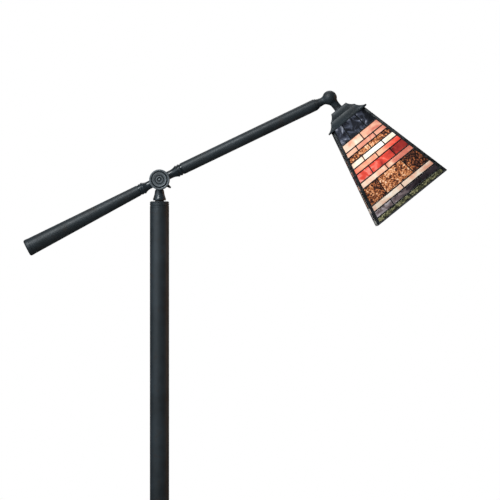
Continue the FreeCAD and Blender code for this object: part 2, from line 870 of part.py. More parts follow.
boss_radius = size.lever_boss_diameter / 2
lever_end = lever_start + size.lever_boss_height
lever_boss = turn_to(turned("lever_boss", [
    (ZERO, lever_start),
    (boss_radius, lever_start),
    (boss_radius, lever_end - size.lever_boss_bevel),
    (boss_radius - size.lever_boss_bevel, lever_end),
    (ZERO, lever_end),
]), across_turn)
tip_start = size.lever_reach - size.lever_tip_radius
lever_arm = extruded("lever_arm", "XZ_Plane", [
    (ZERO, -size.lever_root_width / 2),
    (tip_start, -size.lever_tip_radius),
    (size.lever_reach, ZERO, "via"),
    (tip_start, size.lever_tip_radius),
    (ZERO, size.lever_root_width / 2),
], size.lever_thickness)
turn_to(lever_arm, about_y(size.lever_angle.number))
shift(lever_arm, y=lever_start + size.lever_boss_height / 2)
lever_bore = cylinder("lever_bore", bolt_radius + size.fit_gap, ZERO, size.ear_diameter)
turn_to(lever_bore, across_turn)
keep("tension_lever", cut(
    "lever", fuse("lever_blank", [lever_boss, lever_arm]), [lever_bore]), PIVOT)

# Arm hub: drum with a wire chamber and a slot for the lead, and two bell-shaped stubs

stub_neck = size.stub_neck_diameter / 2
stub_flare = size.stub_flare_diameter / 2
spigot = size.stub_spigot_diameter / 2
front_collar_end = size.front_stub_flare + size.stub_collar
rear_collar_end = size.rear_stub_flare + size.stub_collar


def stub(label, neck_reach, flare_reach, collar_end):
    return turned(label, [
        (ZERO, ZERO),
        (stub_neck, ZERO),
        (stub_neck, neck_reach),
        (between(stub_neck, stub_flare, 0.3), between(neck_reach, flare_reach, 0.52), "via"),
        (stub_flare, flare_reach),
        (stub_flare, collar_end),
        (spigot, collar_end),
        (spigot, collar_end + size.stub_spigot_length),
        (ZERO, collar_end + size.stub_spigot_length),
    ])


drum = turn_to(cylinder("drum", size.hub_diameter / 2, ZERO, size.hub_width), across_turn)
shift(drum, y=-hub_half, z=ZERO)
front_stub = turn_to(stub(
    "front_stub", size.front_stub_neck, size.front_stub_flare, front_collar_end), arm_turn)
rear_stub = turn_to(stub(
    "rear_stub", size.rear_stub_neck, size.rear_stub_flare, rear_collar_end), rear_turn)
hub_bore = cylinder(
    "hub_bore", bolt_radius + size.running_gap, ZERO, size.hub_width + 2)
turn_to(hub_bore, across_turn)
shift(hub_bore, y=-hub_half - 1, z=ZERO)
sleeve_radius = bolt_radius + size.running_gap + size.hub_sleeve_wall
chamber_radius = size.chamber_diameter / 2
chamber = turn_to(ring(
    "chamber", sleeve_radius, chamber_radius, -hub_half - 1,
    hub_half - size.chamber_floor), across_turn)
lead_bore = turn_to(group("lead_bores", [cylinder(
    "lead_bore", size.arm_lead_bore / 2, chamber_radius * 0.8,
    front_collar_end + size.stub_spigot_length + 1)]), arm_turn)
slot = turned("slot", [
    (chamber_radius - 0.5, -size.slot_width / 2),
    (size.hub_diameter / 2 + 1, -size.slot_width / 2),
    (size.hub_diameter / 2 + 1, size.slot_width / 2),
    (chamber_radius - 0.5, size.slot_width / 2),
], angle=size.slot_angle)
turn_to(slot, across_turn.multiply(FreeCAD.Rotation(AXIS_Z, size.slot_middle.number)))
keep("arm_hub", cut(
    "hub", fuse("hub_blank", [drum, front_stub, rear_stub]),
    [hub_bore, chamber, lead_bore, slot]), PIVOT)

# Ferrules with a bead between each stub and its tube


def ferrule(label, start, length, diameter, bead):
    end = start + length
    middle = start + length / 2
    half_bead = size.ferrule_bead_width / 2
    return turned(label, [
        (spigot + size.fit_gap, start),
        (diameter / 2, start),
        (diameter / 2, middle - half_bead),
        (bead / 2, middle, "via"),
        (diameter / 2, middle + half_bead),
        (diameter / 2, end),
        (spigot + size.fit_gap, end),
    ])


front_ferrule_start = front_collar_end + size.fit_gap
rear_ferrule_start = rear_collar_end + size.fit_gap
keep("arm_ferrules", group("ferrule_pair", [
    turn_to(ferrule("front_bead", front_ferrule_start, size.ferrule_length,
                    size.ferrule_diameter, size.ferrule_bead_diameter), arm_turn),
    turn_to(ferrule("rear_bead", rear_ferrule_start, size.rear_ferrule_length,
                    size.rear_ferrule_diameter, size.rear_ferrule_bead_diameter), rear_turn),
]), PIVOT)

# Front arm: tube, threaded plug at its inner end, bearing tip at its outer end, lead inside

tube_start = front_ferrule_start + size.ferrule_length + size.fit_gap
tip_end_reach = size.ball_reach - size.end_neck_length - size.running_gap
tip_start_reach = tip_end_reach - size.tip_flange
tube_end = tip_start_reach - size.fit_gap
tube_radius = size.arm_tube_diameter / 2
tube_inside = tube_radius - size.arm_tube_wall
tube_fit = tube_inside - size.fit_gap
keep("arm_tube", ring(
    "front_tube", tube_inside, tube_radius, tube_start, tube_end), FRONT_ARM)
front_insert = ring(
    "front_insert", spigot + size.fit_gap, tube_fit, tube_start, tube_start + size.plug_length)

spindle_radius = size.spindle_diameter / 2
pocket_top = tip_end_reach - size.tip_plate
keep("arm_tip", turned("tip", [
    (spindle_radius + size.running_gap, pocket_top),
    (size.tip_pocket_diameter / 2, pocket_top),
    (size.tip_pocket_diameter / 2, tip_start_reach - size.tip_plug),
    (tube_fit, tip_start_reach - size.tip_plug),
    (tube_fit, tip_start_reach),
    (tube_radius, tip_start_reach),
    (tube_radius, tip_end_reach - size.tip_flange / 2),
    (tube_radius - size.tip_flange * 0.15, tip_end_reach - size.tip_flange * 0.15, "via"),
    (tube_radius - size.tip_flange / 2, tip_end_reach),
    (spindle_radius + size.running_gap, tip_end_reach),
]), FRONT_ARM)
arm_lead = cylinder(
    "arm_wire", size.arm_lead_diameter / 2, chamber_radius,
    tip_start_reach - size.tip_plug - 1)
keep("arm_lead", group("arm_wires", [arm_lead]), FRONT_ARM)

# Counterweight: tapered sleeve, threaded plug, iron core and end cap

sleeve_start = rear_ferrule_start + size.rear_ferrule_length + size.fit_gap
small_radius = size.counterweight_small / 2
large_radius = size.counterweight_large / 2
taper = (large_radius - small_radius) / (size.counterweight_end - sleeve_start)


def sleeve_radius_at(reach):
    """Outer radius of the tapered sleeve at a distance from the pivot."""
    return small_radius + taper * (reach - sleeve_start)


wall = size.counterweight_wall
keep("counterweight_sleeve", turned("sleeve", [
    (small_radius - wall, sleeve_start),
    (small_radius, sleeve_start),
    (large_radius, size.counterweight_end),
    (large_radius - wall, size.counterweight_end),
]), REAR_ARM)
rear_plug_end = sleeve_start + size.plug_length
rear_insert = turned("rear_insert", [
    (spigot + size.fit_gap, sleeve_start),
    (small_radius - wall - size.fit_gap, sleeve_start),
    (sleeve_radius_at(rear_plug_end) - wall - size.fit_gap, rear_plug_end),
    (spigot + size.fit_gap, rear_plug_end),
])
keep("arm_plugs", group("plug_pair", [
    turn_to(front_insert, arm_turn),
    turn_to(rear_insert, rear_turn),
]), PIVOT)
cap_plug_start = size.counterweight_end - size.end_cap_plug
core_start = rear_plug_end + size.stub_spigot_length - size.plug_length
core_end = cap_plug_start - size.fit_gap
core_inset = wall + size.core_gap
keep("counterweight_core", turned("core", [
    (ZERO, core_start),
    (sleeve_radius_at(core_start) - core_inset, core_start),
    (sleeve_radius_at(core_end) - core_inset, core_end),
    (ZERO, core_end),
]), REAR_ARM)
end_cap_start = size.counterweight_end + size.fit_gap
end_cap_end = end_cap_start + size.end_cap_length
end_cap_radius = size.end_cap_diameter / 2
cap_plug_radius = sleeve_radius_at(cap_plug_start) - wall - size.fit_gap
keep("counterweight_cap", turned("end_cap", [
    (ZERO, cap_plug_start),
    (cap_plug_radius, cap_plug_start),
    (cap_plug_radius, end_cap_start),
    (end_cap_radius, end_cap_start),
    (end_cap_radius, end_cap_end - size.end_cap_round),
    (end_cap_radius - size.end_cap_round * 0.293,
     end_cap_end - size.end_cap_round * 0.293, "via"),
    (end_cap_radius - size.end_cap_round, end_cap_end),
    (ZERO, end_cap_end),
]), REAR_ARM)

# Ball joint. The ball is split in the arm's plane: the front half carries the neck that turns in
# the arm's tip, and the rear half carries the shade's stem.

ball_radius = size.ball_diameter / 2
hollow_radius = ball_radius - size.ball_wall
half_box = size.ball_diameter


def hollow_ball(label):
    boss = cylinder(f"{label}_boss", size.ball_boss_diameter / 2, ZERO, size.ball_diameter)
    turn_to(boss, across_turn)
    shift(boss, y=-ball_radius, z=ZERO)
    return cut(label, sphere(f"{label}_ball", hollow_radius), [boss])


def half_space(label, side):
    """A box that reaches past the ball on the front side (-1) or the rear side (1) of the split."""
    if side < 0:
        return box(label, (-half_box, -half_box, -half_box), (half_box, -size.ball_split, half_box))
    return box(label, (-half_box, size.ball_split, -half_box), (half_box, half_box, half_box))


def clear_half(label, side):
    """The room that the other half of the ball needs, up to this half's split face."""
    reach = sphere(f"{label}_reach", ball_radius + size.ball_clearance)
    if side < 0:
        room = box(f"{label}_room", (-half_box, -size.ball_split, -half_box),
                   (half_box, half_box, half_box))
    else:
        room = box(f"{label}_room", (-half_box, -half_box, -half_box),
                   (half_box, size.ball_split, half_box))
    return common(label, [reach, room])


def ball_half(label, side, neck_piece, bores):
    dome = common(f"{label}_dome", [sphere(f"{label}_sphere", ball_radius),
                                    half_space(f"{label}_side", side)])
    shank = cut(f"{label}_shank", neck_piece, [clear_half(f"{label}_clear", side)])
    whole = fuse(f"{label}_blank", [dome, shank])
    return cut(label, whole, [hollow_ball(f"{label}_hollow"), *bores])


def screw_bore(label, radius, low, high):
    bore = turn_to(cylinder(label, radius, ZERO, high - low), across_turn)
    return shift(bore, y=low, z=ZERO)


neck_start = hollow_radius - 1
neck_end = size.end_neck_length
end_neck = size.end_neck_diameter / 2
front_neck = turned("front_neck", [
    (ZERO, neck_start),
    (size.end_neck_flare / 2, neck_start + 1),
    (between(size.end_neck_flare / 2, end_neck, 0.78), ball_radius - 0.4, "via"),
    (end_neck, ball_radius + size.ball_fillet_length),
    (end_neck, neck_end),
    (spindle_radius, neck_end),
    (spindle_radius, size.spindle_end),
    (ZERO, size.spindle_end),
])
screw_radius = size.ball_screw_diameter / 2
front_bores = [
    cylinder("front_wire_bore", size.arm_lead_bore / 2, hollow_radius - 2, size.spindle_end + 1),
    screw_bore("front_screw_bore", screw_radius + 0.01, -hollow_radius, Size(1)),
]
keep("ball_front_half", ball_half("front_half", -1, front_neck, front_bores), BALL)

nut_face = size.ball_reach - pocket_top + size.running_gap
keep("spindle_nut", hex_nut(
    "tip_nut", size.spindle_nut_corners, spindle_radius + size.fit_gap, nut_face,
    nut_face + size.spindle_nut_height), BALL)

washer_start = size.ball_screw_seat + size.running_gap
washer_end = washer_start + size.ball_washer_thickness
head_end = washer_end + size.ball_screw_head_height
keep("ball_washer", ring(
    "spring_washer", screw_radius + size.fit_gap, size.ball_screw_head / 2, washer_start,
    washer_end), BALL_SCREW)
keep("ball_screw", turned("screw", [
    (ZERO, -hollow_radius + 1),
    (screw_radius, -hollow_radius + 1),
    (screw_radius, washer_end),
    (size.ball_screw_head / 2, washer_end),
    (size.ball_screw_head / 2, head_end - size.ball_screw_head_height * 0.4),
    "dome",
    (ZERO, head_end),
]), BALL_SCREW)

stem_radius = size.stem_diameter / 2
stem = turned("stem", [
    (ZERO, neck_start),
    (size.stem_flare / 2, neck_start + 1),
    (between(size.stem_flare / 2, stem_radius, 0.78), ball_radius - 0.4, "via"),
    (stem_radius, ball_radius + size.ball_fillet_length),
    (stem_radius, size.stem_length - size.stem_bell_length),
    (between(stem_radius, size.stem_end_diameter / 2, 0.2),
     size.stem_length - size.stem_bell_length * 0.45, "via"),
    (size.stem_end_diameter / 2, size.stem_length),
    (ZERO, size.stem_length),
])
nipple_radius = size.nipple_diameter / 2
nipple_hole = nipple_radius + size.fit_gap
nipple_start = size.stem_length - size.nipple_grip
rear_bores = [
    cylinder("rear_wire_bore", size.nipple_bore / 2, hollow_radius - 2, nipple_start + 1),
    cylinder("nipple_seat", nipple_hole, nipple_start - size.fit_gap, size.stem_length + 1),
    screw_bore("rear_screw_bore", screw_radius + size.running_gap, Size(-1), ball_radius),
    screw_bore("screw_seat", size.ball_screw_head / 2 + 0.4, size.ball_screw_seat,
               ball_radius + 1),
]
keep("ball_rear_half", ball_half("rear_half", 1, stem, rear_bores), SHADE)

# Canopy: square stepped roof of thin sheet, its two flares concave. Its section is the same
# seen from the front and from the side, so it is what two crossed extrusions share.

canopy_start = size.stem_length + size.fit_gap


def canopy_side(sheet_inset):
    """Right half of the canopy's section, from the top plate down to the lip."""
    top = canopy_start + sheet_inset
    edge = top + size.canopy_top_edge
    top_half = size.canopy_top_width / 2 - sheet_inset
    edge_half = top_half + size.canopy_top_spread
    step_half = size.canopy_step_width / 2 - sheet_inset
    step = canopy_start + size.canopy_step_depth + sheet_inset * 0.4
    step_edge = step + size.canopy_step_lip
    tip_half = size.canopy_width / 2 - sheet_inset
    tip = canopy_start + size.canopy_flare_depth + sheet_inset * 0.6
    first_via = (between(edge_half, step_half, 0.5) - size.canopy_first_sag * 0.7,
                 between(edge, step, 0.5) + size.canopy_first_sag * 0.7, "via")
    second_via = (between(step_half, tip_half, 0.42) - size.canopy_second_sag * 0.7,
                  between(step_edge, tip, 0.42) + size.canopy_second_sag * 0.7, "via")
    return [
        (top_half, top),
        (edge_half, edge),
        first_via,
        (step_half, step),
        (step_half + 0.2, step_edge),
        second_via,
        (tip_half, tip),
        (tip_half, canopy_start + size.canopy_flare_depth + size.canopy_lip + sheet_inset * 2),
    ]


def roof(label, sheet_inset):
    right = canopy_side(sheet_inset)
    left = [(-point[0], *point[1:]) for point in right[::-1]]
    along = extruded(f"{label}_along", "XZ_Plane", right + left, size.canopy_width + 4)
    aside = extruded(f"{label}_aside", "XZ_Plane", right + left, size.canopy_width + 4)
    turn_to(aside, FreeCAD.Rotation(AXIS_Z, 90))
    return common(label, [along, aside])


canopy_hole = cylinder("canopy_hole", nipple_hole, size.stem_length - 1, size.stem_length + 5)
keep("canopy", cut(
    "roof_sheet", roof("roof_outside", ZERO), [roof("roof_inside", size.canopy_sheet), canopy_hole]
), SHADE)

# Nipple, lock nuts and crown: they clamp the canopy and the leaded panels to the stem

crown_bottom = size.crown_depth + size.crown_thickness
canopy_nut_top = canopy_start + size.canopy_sheet + size.fit_gap
crown_nut_end = size.crown_depth - size.fit_gap
keep("nipple", ring(
    "threaded_tube", size.nipple_bore / 2, nipple_radius, nipple_start,
    crown_bottom + size.nipple_spare), SHADE)
keep("nipple_nuts", group("nipple_nut_pair", [
    hex_nut("canopy_nut", size.nipple_nut_corners, nipple_hole, canopy_nut_top,
            canopy_nut_top + size.nipple_nut_height),
    hex_nut("crown_nut", size.nipple_nut_corners, nipple_hole,
            crown_nut_end - size.nipple_nut_height, crown_nut_end),
]), SHADE)

crown_half = size.shade_top_width / 2
bar_half = size.crown_bar / 2
crown_plate = box("crown_plate", (-crown_half, -crown_half, size.crown_depth),
                  (crown_half, crown_half, crown_bottom))
vents = []
for side_x in (-1, 1):
    for side_y in (-1, 1):
        x_ends = [bar_half * side_x, (crown_half - bar_half) * side_x][::side_x]
        y_ends = [bar_half * side_y, (crown_half - bar_half) * side_y][::side_y]
        vents.append(box(
            f"vent_{len(vents) + 1}",
            (x_ends[0], y_ends[0], size.crown_depth - 1),
            (x_ends[1], y_ends[1], crown_bottom + 1)))
crown_disc = cylinder(
    "crown_disc", size.nipple_nut_corners / 2 + size.crown_hub_margin, size.crown_depth,
    crown_bottom)
crown_hole = cylinder("crown_hole", nipple_hole, size.crown_depth - 1, crown_bottom + 1)
crown_cross = cut("crown_cross", crown_plate, vents)
keep("shade_crown", cut(
    "crown", fuse("crown_blank", [crown_cross, crown_disc]), [crown_hole]), SHADE)

# Leaded panels. Each of the four sides leans outwards, and every level section is square, so each
# came and each piece of glass is a wedge between two level rectangles.

row_heights = [sheet.get(f"row_{number:02d}_height") for number in range(1, 13)]
panel_top = crown_bottom.number
row_levels = [panel_top]
for row_height in row_heights:
    row_levels.append(row_levels[-1] + row_height)
panel_bottom = row_levels[-1]
rim_bottom = panel_bottom + sheet.rim_height
top_half_width = sheet.shade_top_width / 2
half_spread = (sheet.shade_width - sheet.shade_top_width) / 2 / (rim_bottom - panel_top)


def half_width(level):
    return top_half_width + (level - panel_top) * half_spread


def wedge(low, high, across, depth):
    """A solid between two levels of the front side. across(level) gives its two ends, and depth its
    two distances in from the outer face."""
    x_low = across(low)
    x_high = across(high)
    y_low = [half_width(low) - value for value in depth]
    y_high = [half_width(high) - value for value in depth]
    solid = Part.makeWedge(
        x_low[0], low, y_low[1], y_high[1], x_high[0],
        x_low[1], high, y_low[0], y_high[0], x_high[1])
    return solid.rotated(FreeCAD.Vector(), AXIS_X, 90)


def on_sides(shape):
    """A shape on the front side and its copies on the other three."""
    return [shape.rotated(FreeCAD.Vector(), AXIS_Z, 90 * side) for side in range(4)]


def panel_half(level):
    """Half the width of one panel, up to the corner came."""
    return half_width(level) - sheet.corner_width


def row_shares(number):
    """Where a row's dividers lie, as shares of the panel's half width."""
    if number % 2:
        return [-1, 0, 1]
    return [-1, -sheet.quarter_share, sheet.quarter_share, 1]


def window_ends(left, right):
    """Ends of one window between two dividers, each less the came that covers it."""
    left_came = sheet.side_came if left == -1 else sheet.came_width / 2
    right_came = sheet.side_came if right == 1 else sheet.came_width / 2
    return lambda level: (
        panel_half(level) * left + left_came,
        panel_half(level) * right - right_came,
    )


def row_pieces(number, depth):
    """The pieces of one row on the front side, as deep as given."""
    half_came = sheet.came_width / 2
    low = row_levels[number] + half_came
    high = row_levels[number + 1] - half_came
    shares = row_shares(number)
    return [wedge(low, high, window_ends(left, right), depth)
            for left, right in zip(shares, shares[1:])]


def keep_solids(name, shapes):
    """Keeps solids that are worked out above in the shade's own frame."""
    feature = doc.addObject("Part::Feature", f"{name}_solids")
    feature.Shape = Part.makeCompound(shapes)
    keep(name, feature, SHADE)


through = (-1.0, sheet.panel_thickness + 1.0)
blank_panel = wedge(
    panel_top, panel_bottom, lambda level: (-panel_half(level), panel_half(level)),
    (0.0, sheet.panel_thickness))
windows = [piece for number in range(len(row_heights)) for piece in row_pieces(number, through)]
lattice = blank_panel.cut(windows)
for name, shape in zip(("front", "left", "back", "right"), on_sides(lattice)):
    keep_solids(f"leading_{name}", [shape])

corner_blank = wedge(
    panel_top, panel_bottom, lambda level: (panel_half(level), half_width(level)),
    (0.0, sheet.corner_width))
keep_solids("corner_cames", on_sides(corner_blank))

rim_bar = wedge(
    panel_bottom, rim_bottom, lambda level: (-half_width(level), panel_half(level)),
    (0.0, sheet.corner_width))
keep_solids("shade_rim", on_sides(rim_bar))

glass_inset = (sheet.panel_thickness - sheet.glass_thickness) / 2
glass_depth = (glass_inset, glass_inset + sheet.glass_thickness)
for colour in sorted(set(ROW_GLASS)):
    pieces = [copy for number, glass in enumerate(ROW_GLASS) if glass == colour
              for piece in row_pieces(number, glass_depth) for copy in on_sides(piece)]
    keep_solids(f"glass_{colour}", pieces)

# Lamp holder: cap, shell, insulating core and the turn key of its switch

socket_radius = size.socket_diameter / 2
socket_inside = socket_radius - size.socket_wall
cap_start = crown_bottom + size.fit_gap
cap_end = cap_start + size.socket_cap_height
cap_inside = cap_start + size.socket_wall
keep("socket_cap", turned("holder_cap", [
    (nipple_hole, cap_start),
    (socket_radius * 0.55, cap_start),
    (socket_radius * 0.88, cap_start + size.socket_cap_height * 0.2, "via"),
    (socket_radius, cap_start + size.socket_cap_height * 0.6),
    (socket_radius, cap_end),
    (socket_inside, cap_end),
    (socket_inside, cap_start + size.socket_cap_height * 0.62),
    (socket_inside * 0.87, cap_inside + size.socket_cap_height * 0.19, "via"),
    (socket_inside * 0.54, cap_inside),
    (nipple_hole, cap_inside),
]), SHADE)

shell_start = cap_end + size.fit_gap
shell_end = shell_start + size.socket_shell_height
key_level = shell_start + size.key_height
key_radius = size.key_shaft_diameter / 2


def key_bore(label, low, high):
    bore = turn_to(cylinder(label, key_radius + size.running_gap, ZERO, high - low), across_turn)
    return shift(bore, y=low, z=key_level)


keep("socket_shell", cut(
    "holder_shell", ring("shell_tube", socket_inside, socket_radius, shell_start, shell_end),
    [key_bore("shell_key_bore", socket_inside - 2, socket_radius + 2)]), SHADE)

core_start_level = shell_start + size.core_top
core_floor_level = core_start_level + size.core_floor
core_radius = socket_inside - size.fit_gap
keep("socket_core", cut("holder_core", turned("core_blank", [
    (ZERO, core_start_level),
    (core_radius, core_start_level),
    (core_radius, shell_end),
    (core_radius - size.core_wall, shell_end),
    (core_radius - size.core_wall, core_floor_level),
    (ZERO, core_floor_level),
]), [key_bore("core_key_bore", size.key_inner, socket_radius)]), SHADE)

key_shaft = turn_to(cylinder(
    "key_shaft", key_radius, ZERO, size.key_paddle_start + 1 - size.key_inner), across_turn)
shift(key_shaft, y=size.key_inner + size.fit_gap, z=key_level)
paddle_half = size.key_paddle_width / 2
paddle_end = size.key_paddle_start + size.key_paddle_length
paddle = extruded("paddle", "YZ_Plane", [
    (size.key_paddle_start, key_level - paddle_half * 0.45),
    (size.key_paddle_start + size.key_paddle_length * 0.3, key_level - paddle_half),
    (paddle_end, key_level, "via"),
    (size.key_paddle_start + size.key_paddle_length * 0.3, key_level + paddle_half),
    (size.key_paddle_start, key_level + paddle_half * 0.45),
], size.key_paddle_thickness)
keep("switch_key", fuse("turn_key", [key_shaft, paddle]), SHADE)

# Bulb: metal base in the holder and a round glass globe

bulb_base = size.bulb_base_diameter / 2
bulb_start = core_floor_level + size.fit_gap
bulb_base_end = bulb_start + size.bulb_base_height
bulb_shoulder = bulb_start + size.bulb_tip_height
bulb_neck = bulb_base - size.bulb_base_wall
keep("bulb_base", turned("bulb_cup", [
    (ZERO, bulb_start),
    (size.bulb_tip_diameter / 2, bulb_start),
    (bulb_base, bulb_shoulder),
    (bulb_base, bulb_base_end),
    (bulb_neck, bulb_base_end),
    (bulb_neck, bulb_shoulder + size.bulb_tip_height / 4),
    (ZERO, bulb_start + size.bulb_tip_height / 2),
]), SHADE)

globe_radius = size.bulb_diameter / 2
globe_centre = bulb_start + size.bulb_centre
neck_glass = bulb_neck - size.fit_gap
JOIN_ANGLE = math.radians(36)


def globe_face(inset):
    """The globe's outer face from the neck to the tip, or its inner face when inset."""
    radius = globe_radius - inset
    neck = neck_glass - inset
    join_radius = radius * math.cos(JOIN_ANGLE)
    join_level = globe_centre - radius * math.sin(JOIN_ANGLE)
    neck_level = bulb_base_end + 2
    return [
        (neck, bulb_base_end - size.bulb_neck_seat),
        (neck, neck_level),
        (between(neck, join_radius, 0.36), between(neck_level, join_level, 0.56), "via"),
        (join_radius, join_level),
        "dome",
        (ZERO, globe_centre + radius),
    ]


outer_globe = globe_face(ZERO)
inner_globe = globe_face(size.bulb_glass)
keep("bulb_globe", turned("globe", outer_globe + inner_globe[::-1]), SHADE)

# Check every object, then write one file for each sub-part

doc.recompute()
for thing in doc.Objects:
    if "Invalid" in thing.State or "Error" in thing.State:
        raise RuntimeError(f"{thing.Name} failed: {thing.State}")
os.makedirs("parts", exist_ok=True)
for name, thing in nodes.items():
    shape = thing.Shape
    if shape.isNull() or not shape.isValid():
        raise RuntimeError(f"{name} has no valid shape")
    shape.exportStep(f"parts/{name}.step")
print(len(nodes), "sub-parts written")
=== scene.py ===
import bpy
import json
import math
from mathutils import Matrix, Vector, noise


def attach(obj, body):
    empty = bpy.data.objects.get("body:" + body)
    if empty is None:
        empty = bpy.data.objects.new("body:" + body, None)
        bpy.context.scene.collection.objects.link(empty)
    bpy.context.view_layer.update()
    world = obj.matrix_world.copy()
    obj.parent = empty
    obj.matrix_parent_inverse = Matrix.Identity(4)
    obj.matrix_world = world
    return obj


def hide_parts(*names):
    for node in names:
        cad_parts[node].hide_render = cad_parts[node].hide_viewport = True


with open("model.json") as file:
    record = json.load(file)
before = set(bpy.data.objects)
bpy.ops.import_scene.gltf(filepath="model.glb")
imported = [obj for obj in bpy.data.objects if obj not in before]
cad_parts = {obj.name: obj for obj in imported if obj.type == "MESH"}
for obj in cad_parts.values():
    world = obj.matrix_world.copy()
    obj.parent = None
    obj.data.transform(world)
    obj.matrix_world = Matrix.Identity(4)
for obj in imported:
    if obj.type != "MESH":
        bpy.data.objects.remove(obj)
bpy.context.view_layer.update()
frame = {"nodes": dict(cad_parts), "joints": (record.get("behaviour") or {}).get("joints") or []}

# Studio
# The lamp is seen square from its side and from far off, so that the arm, the shade and the pole keep
# their true angles. Soft light comes mostly from the left, over a pale floor, and a black tent that is
# open at the back, and that only gloss sees, keeps the sides of the round metal dark.
MM = 0.001
VIEW_CENTRE = Vector((0.181, 0, 1.0794))
VIEW_DISTANCE = 10.0

bpy.ops.object.camera_add(location=VIEW_CENTRE - Vector((0, VIEW_DISTANCE, 0)),
                          rotation=(math.pi / 2, 0, 0))
camera = bpy.context.object
camera.data.lens = 360
camera.data.sensor_width = 36
camera.data.clip_end = 60
bpy.context.scene.camera = camera
bpy.context.scene.view_settings.view_transform = "Standard"


def colour(code):
    """Linear colour of an sRGB hex value."""
    parts = [int(code[place:place + 2], 16) / 255 for place in (1, 3, 5)]
    return (*[part / 12.92 if part <= 0.04045 else ((part + 0.055) / 1.055) ** 2.4
              for part in parts], 1.0)


def fill(tree, node, inputs):
    """Links the inputs of a node that are given a socket, and sets the others."""
    for name, value in inputs.items():
        if isinstance(value, bpy.types.NodeSocket):
            tree.links.new(value, node.inputs[name])
        else:
            node.inputs[name].default_value = value


def add_node(tree, kind, inputs=None, output=0, **settings):
    """Adds a node with its settings, fills its inputs, and gives one of its outputs."""
    new = tree.nodes.new(kind)
    for name, value in settings.items():
        setattr(new, name, value)
    fill(tree, new, inputs or {})
    return new.outputs[output] if len(new.outputs) else None


def new_material(name):
    """A material, its node tree, its Principled shader, and its place in Object coordinates."""
    material = bpy.data.materials.new(name)
    material.use_nodes = True
    tree = material.node_tree
    place = add_node(tree, "ShaderNodeTexCoord", output="Object")
    return material, tree, tree.nodes["Principled BSDF"], place


def add_lamp(name, place, aim, power, width, height, tint):
    bpy.ops.object.light_add(type="AREA", location=place)
    lamp = bpy.context.object
    lamp.name = name
    lamp.data.shape = "RECTANGLE"
    lamp.data.energy = power
    lamp.data.size = width
    lamp.data.size_y = height
    lamp.data.color = colour(tint)[:3]
    lamp.rotation_euler = (Vector(aim) - Vector(place)).to_track_quat("-Z", "Y").to_euler()


add_lamp("left_softbox", (-1.7, -1.5, 1.7), (0.1, 0, 1.2), 27, 2.6, 1.6, "#dcebf8")
add_lamp("high_softbox", (-1.0, -1.75, 3.05), (0.05, 0, 1.25), 54, 0.75, 0.75, "#eef4f6")
add_lamp("right_softbox", (1.9, 0.5, 1.2), (0.2, 0, 1.0), 5, 0.6, 1.6, "#ffc79c")
add_lamp("top_softbox", (0.2, 1.5, 3.1), (0.2, 0, 1.0), 20, 1.8, 1.8, "#ffffff")


def add_piece(name, primitive, **settings):
    """Adds one of Blender's primitives, selected alone, under a name."""
    bpy.ops.object.select_all(action="DESELECT")
    primitive(**settings)
    bpy.context.object.name = name
    return bpy.context.object


def add_block(name, low, high):
    """A rectangular block between two corners, in millimetres."""
    block = add_piece(name, bpy.ops.mesh.primitive_cube_add, size=1,
                      location=(Vector(low) + Vector(high)) * MM / 2)
    block.scale = (Vector(high) - Vector(low)) * MM
    bpy.ops.object.transform_apply(location=True, rotation=True, scale=True)
    return block


def select_parts(piece, kind, test):
    """Selects the faces or edges of a piece that pass a test, and leaves it in edit mode."""
    bpy.ops.object.mode_set(mode="EDIT")
    bpy.ops.mesh.select_mode(type=kind)
    bpy.ops.mesh.select_all(action="DESELECT")
    bpy.ops.object.mode_set(mode="OBJECT")
    for part in piece.data.polygons if kind == "FACE" else piece.data.edges:
        part.select = test(part)
    bpy.ops.object.mode_set(mode="EDIT")


tent = add_block("black_tent", (-2400, -6200, 40), (2600, 4400, 3540))
select_parts(tent, "FACE", lambda face: face.normal.y > 0.9)
bpy.ops.mesh.delete(type="FACE")
bpy.ops.object.mode_set(mode="OBJECT")
for ray in ("camera", "diffuse", "transmission", "volume_scatter", "shadow"):
    setattr(tent, "visible_" + ray, False)
tent_cloth, tree, shader, place = new_material("black_cloth")
fill(tree, shader, {"Base Color": colour("#050505"), "Roughness": 1.0})
tent.data.materials.append(tent_cloth)

world = bpy.data.worlds.new("studio")
bpy.context.scene.world = world
world.use_nodes = True
sky = world.node_tree
sky.nodes.clear()
seen = add_node(sky, "ShaderNodeLightPath", output="Is Camera Ray")
for ray in ("Is Glossy Ray", "Is Transmission Ray"):
    seen = add_node(sky, "ShaderNodeMath", {
        0: seen, 1: add_node(sky, "ShaderNodeLightPath", output=ray)}, operation="MAXIMUM")
dim = add_node(sky, "ShaderNodeBackground", {"Color": colour("#f4f6f8"), "Strength": 0.3})
bright = add_node(sky, "ShaderNodeBackground", {"Color": (1, 1, 1, 1), "Strength": 1.0})
add_node(sky, "ShaderNodeOutputWorld", {
    "Surface": add_node(sky, "ShaderNodeMixShader", {0: seen, 1: dim, 2: bright})})

floor = add_piece("studio_floor", bpy.ops.mesh.primitive_plane_add, size=20)
floor_paint, tree, shader, place = new_material("matt_white_floor")
away = add_node(tree, "ShaderNodeVectorMath", {0: place}, output="Value", operation="LENGTH")
paler = add_node(tree, "ShaderNodeMapRange", {
    "Value": away, "From Min": 0.8, "From Max": 6.0, "To Max": 0.6})
shown = add_node(tree, "ShaderNodeMath", {
    0: paler, 1: add_node(tree, "ShaderNodeLightPath", output="Is Camera Ray")},
    operation="MULTIPLY")
fill(tree, shader, {"Base Color": colour("#f1f0ee"), "Roughness": 0.9,
                    "Emission Color": (1, 1, 1, 1), "Emission Strength": shown})
floor.data.materials.append(floor_paint)

# Metal finish
# The pole, arm, joints, base and canopy are steel tube, spun steel and zinc castings under one
# sprayed lacquer, a near-black bronze with a cool cast, baked on and then rubbed on its raised rims.

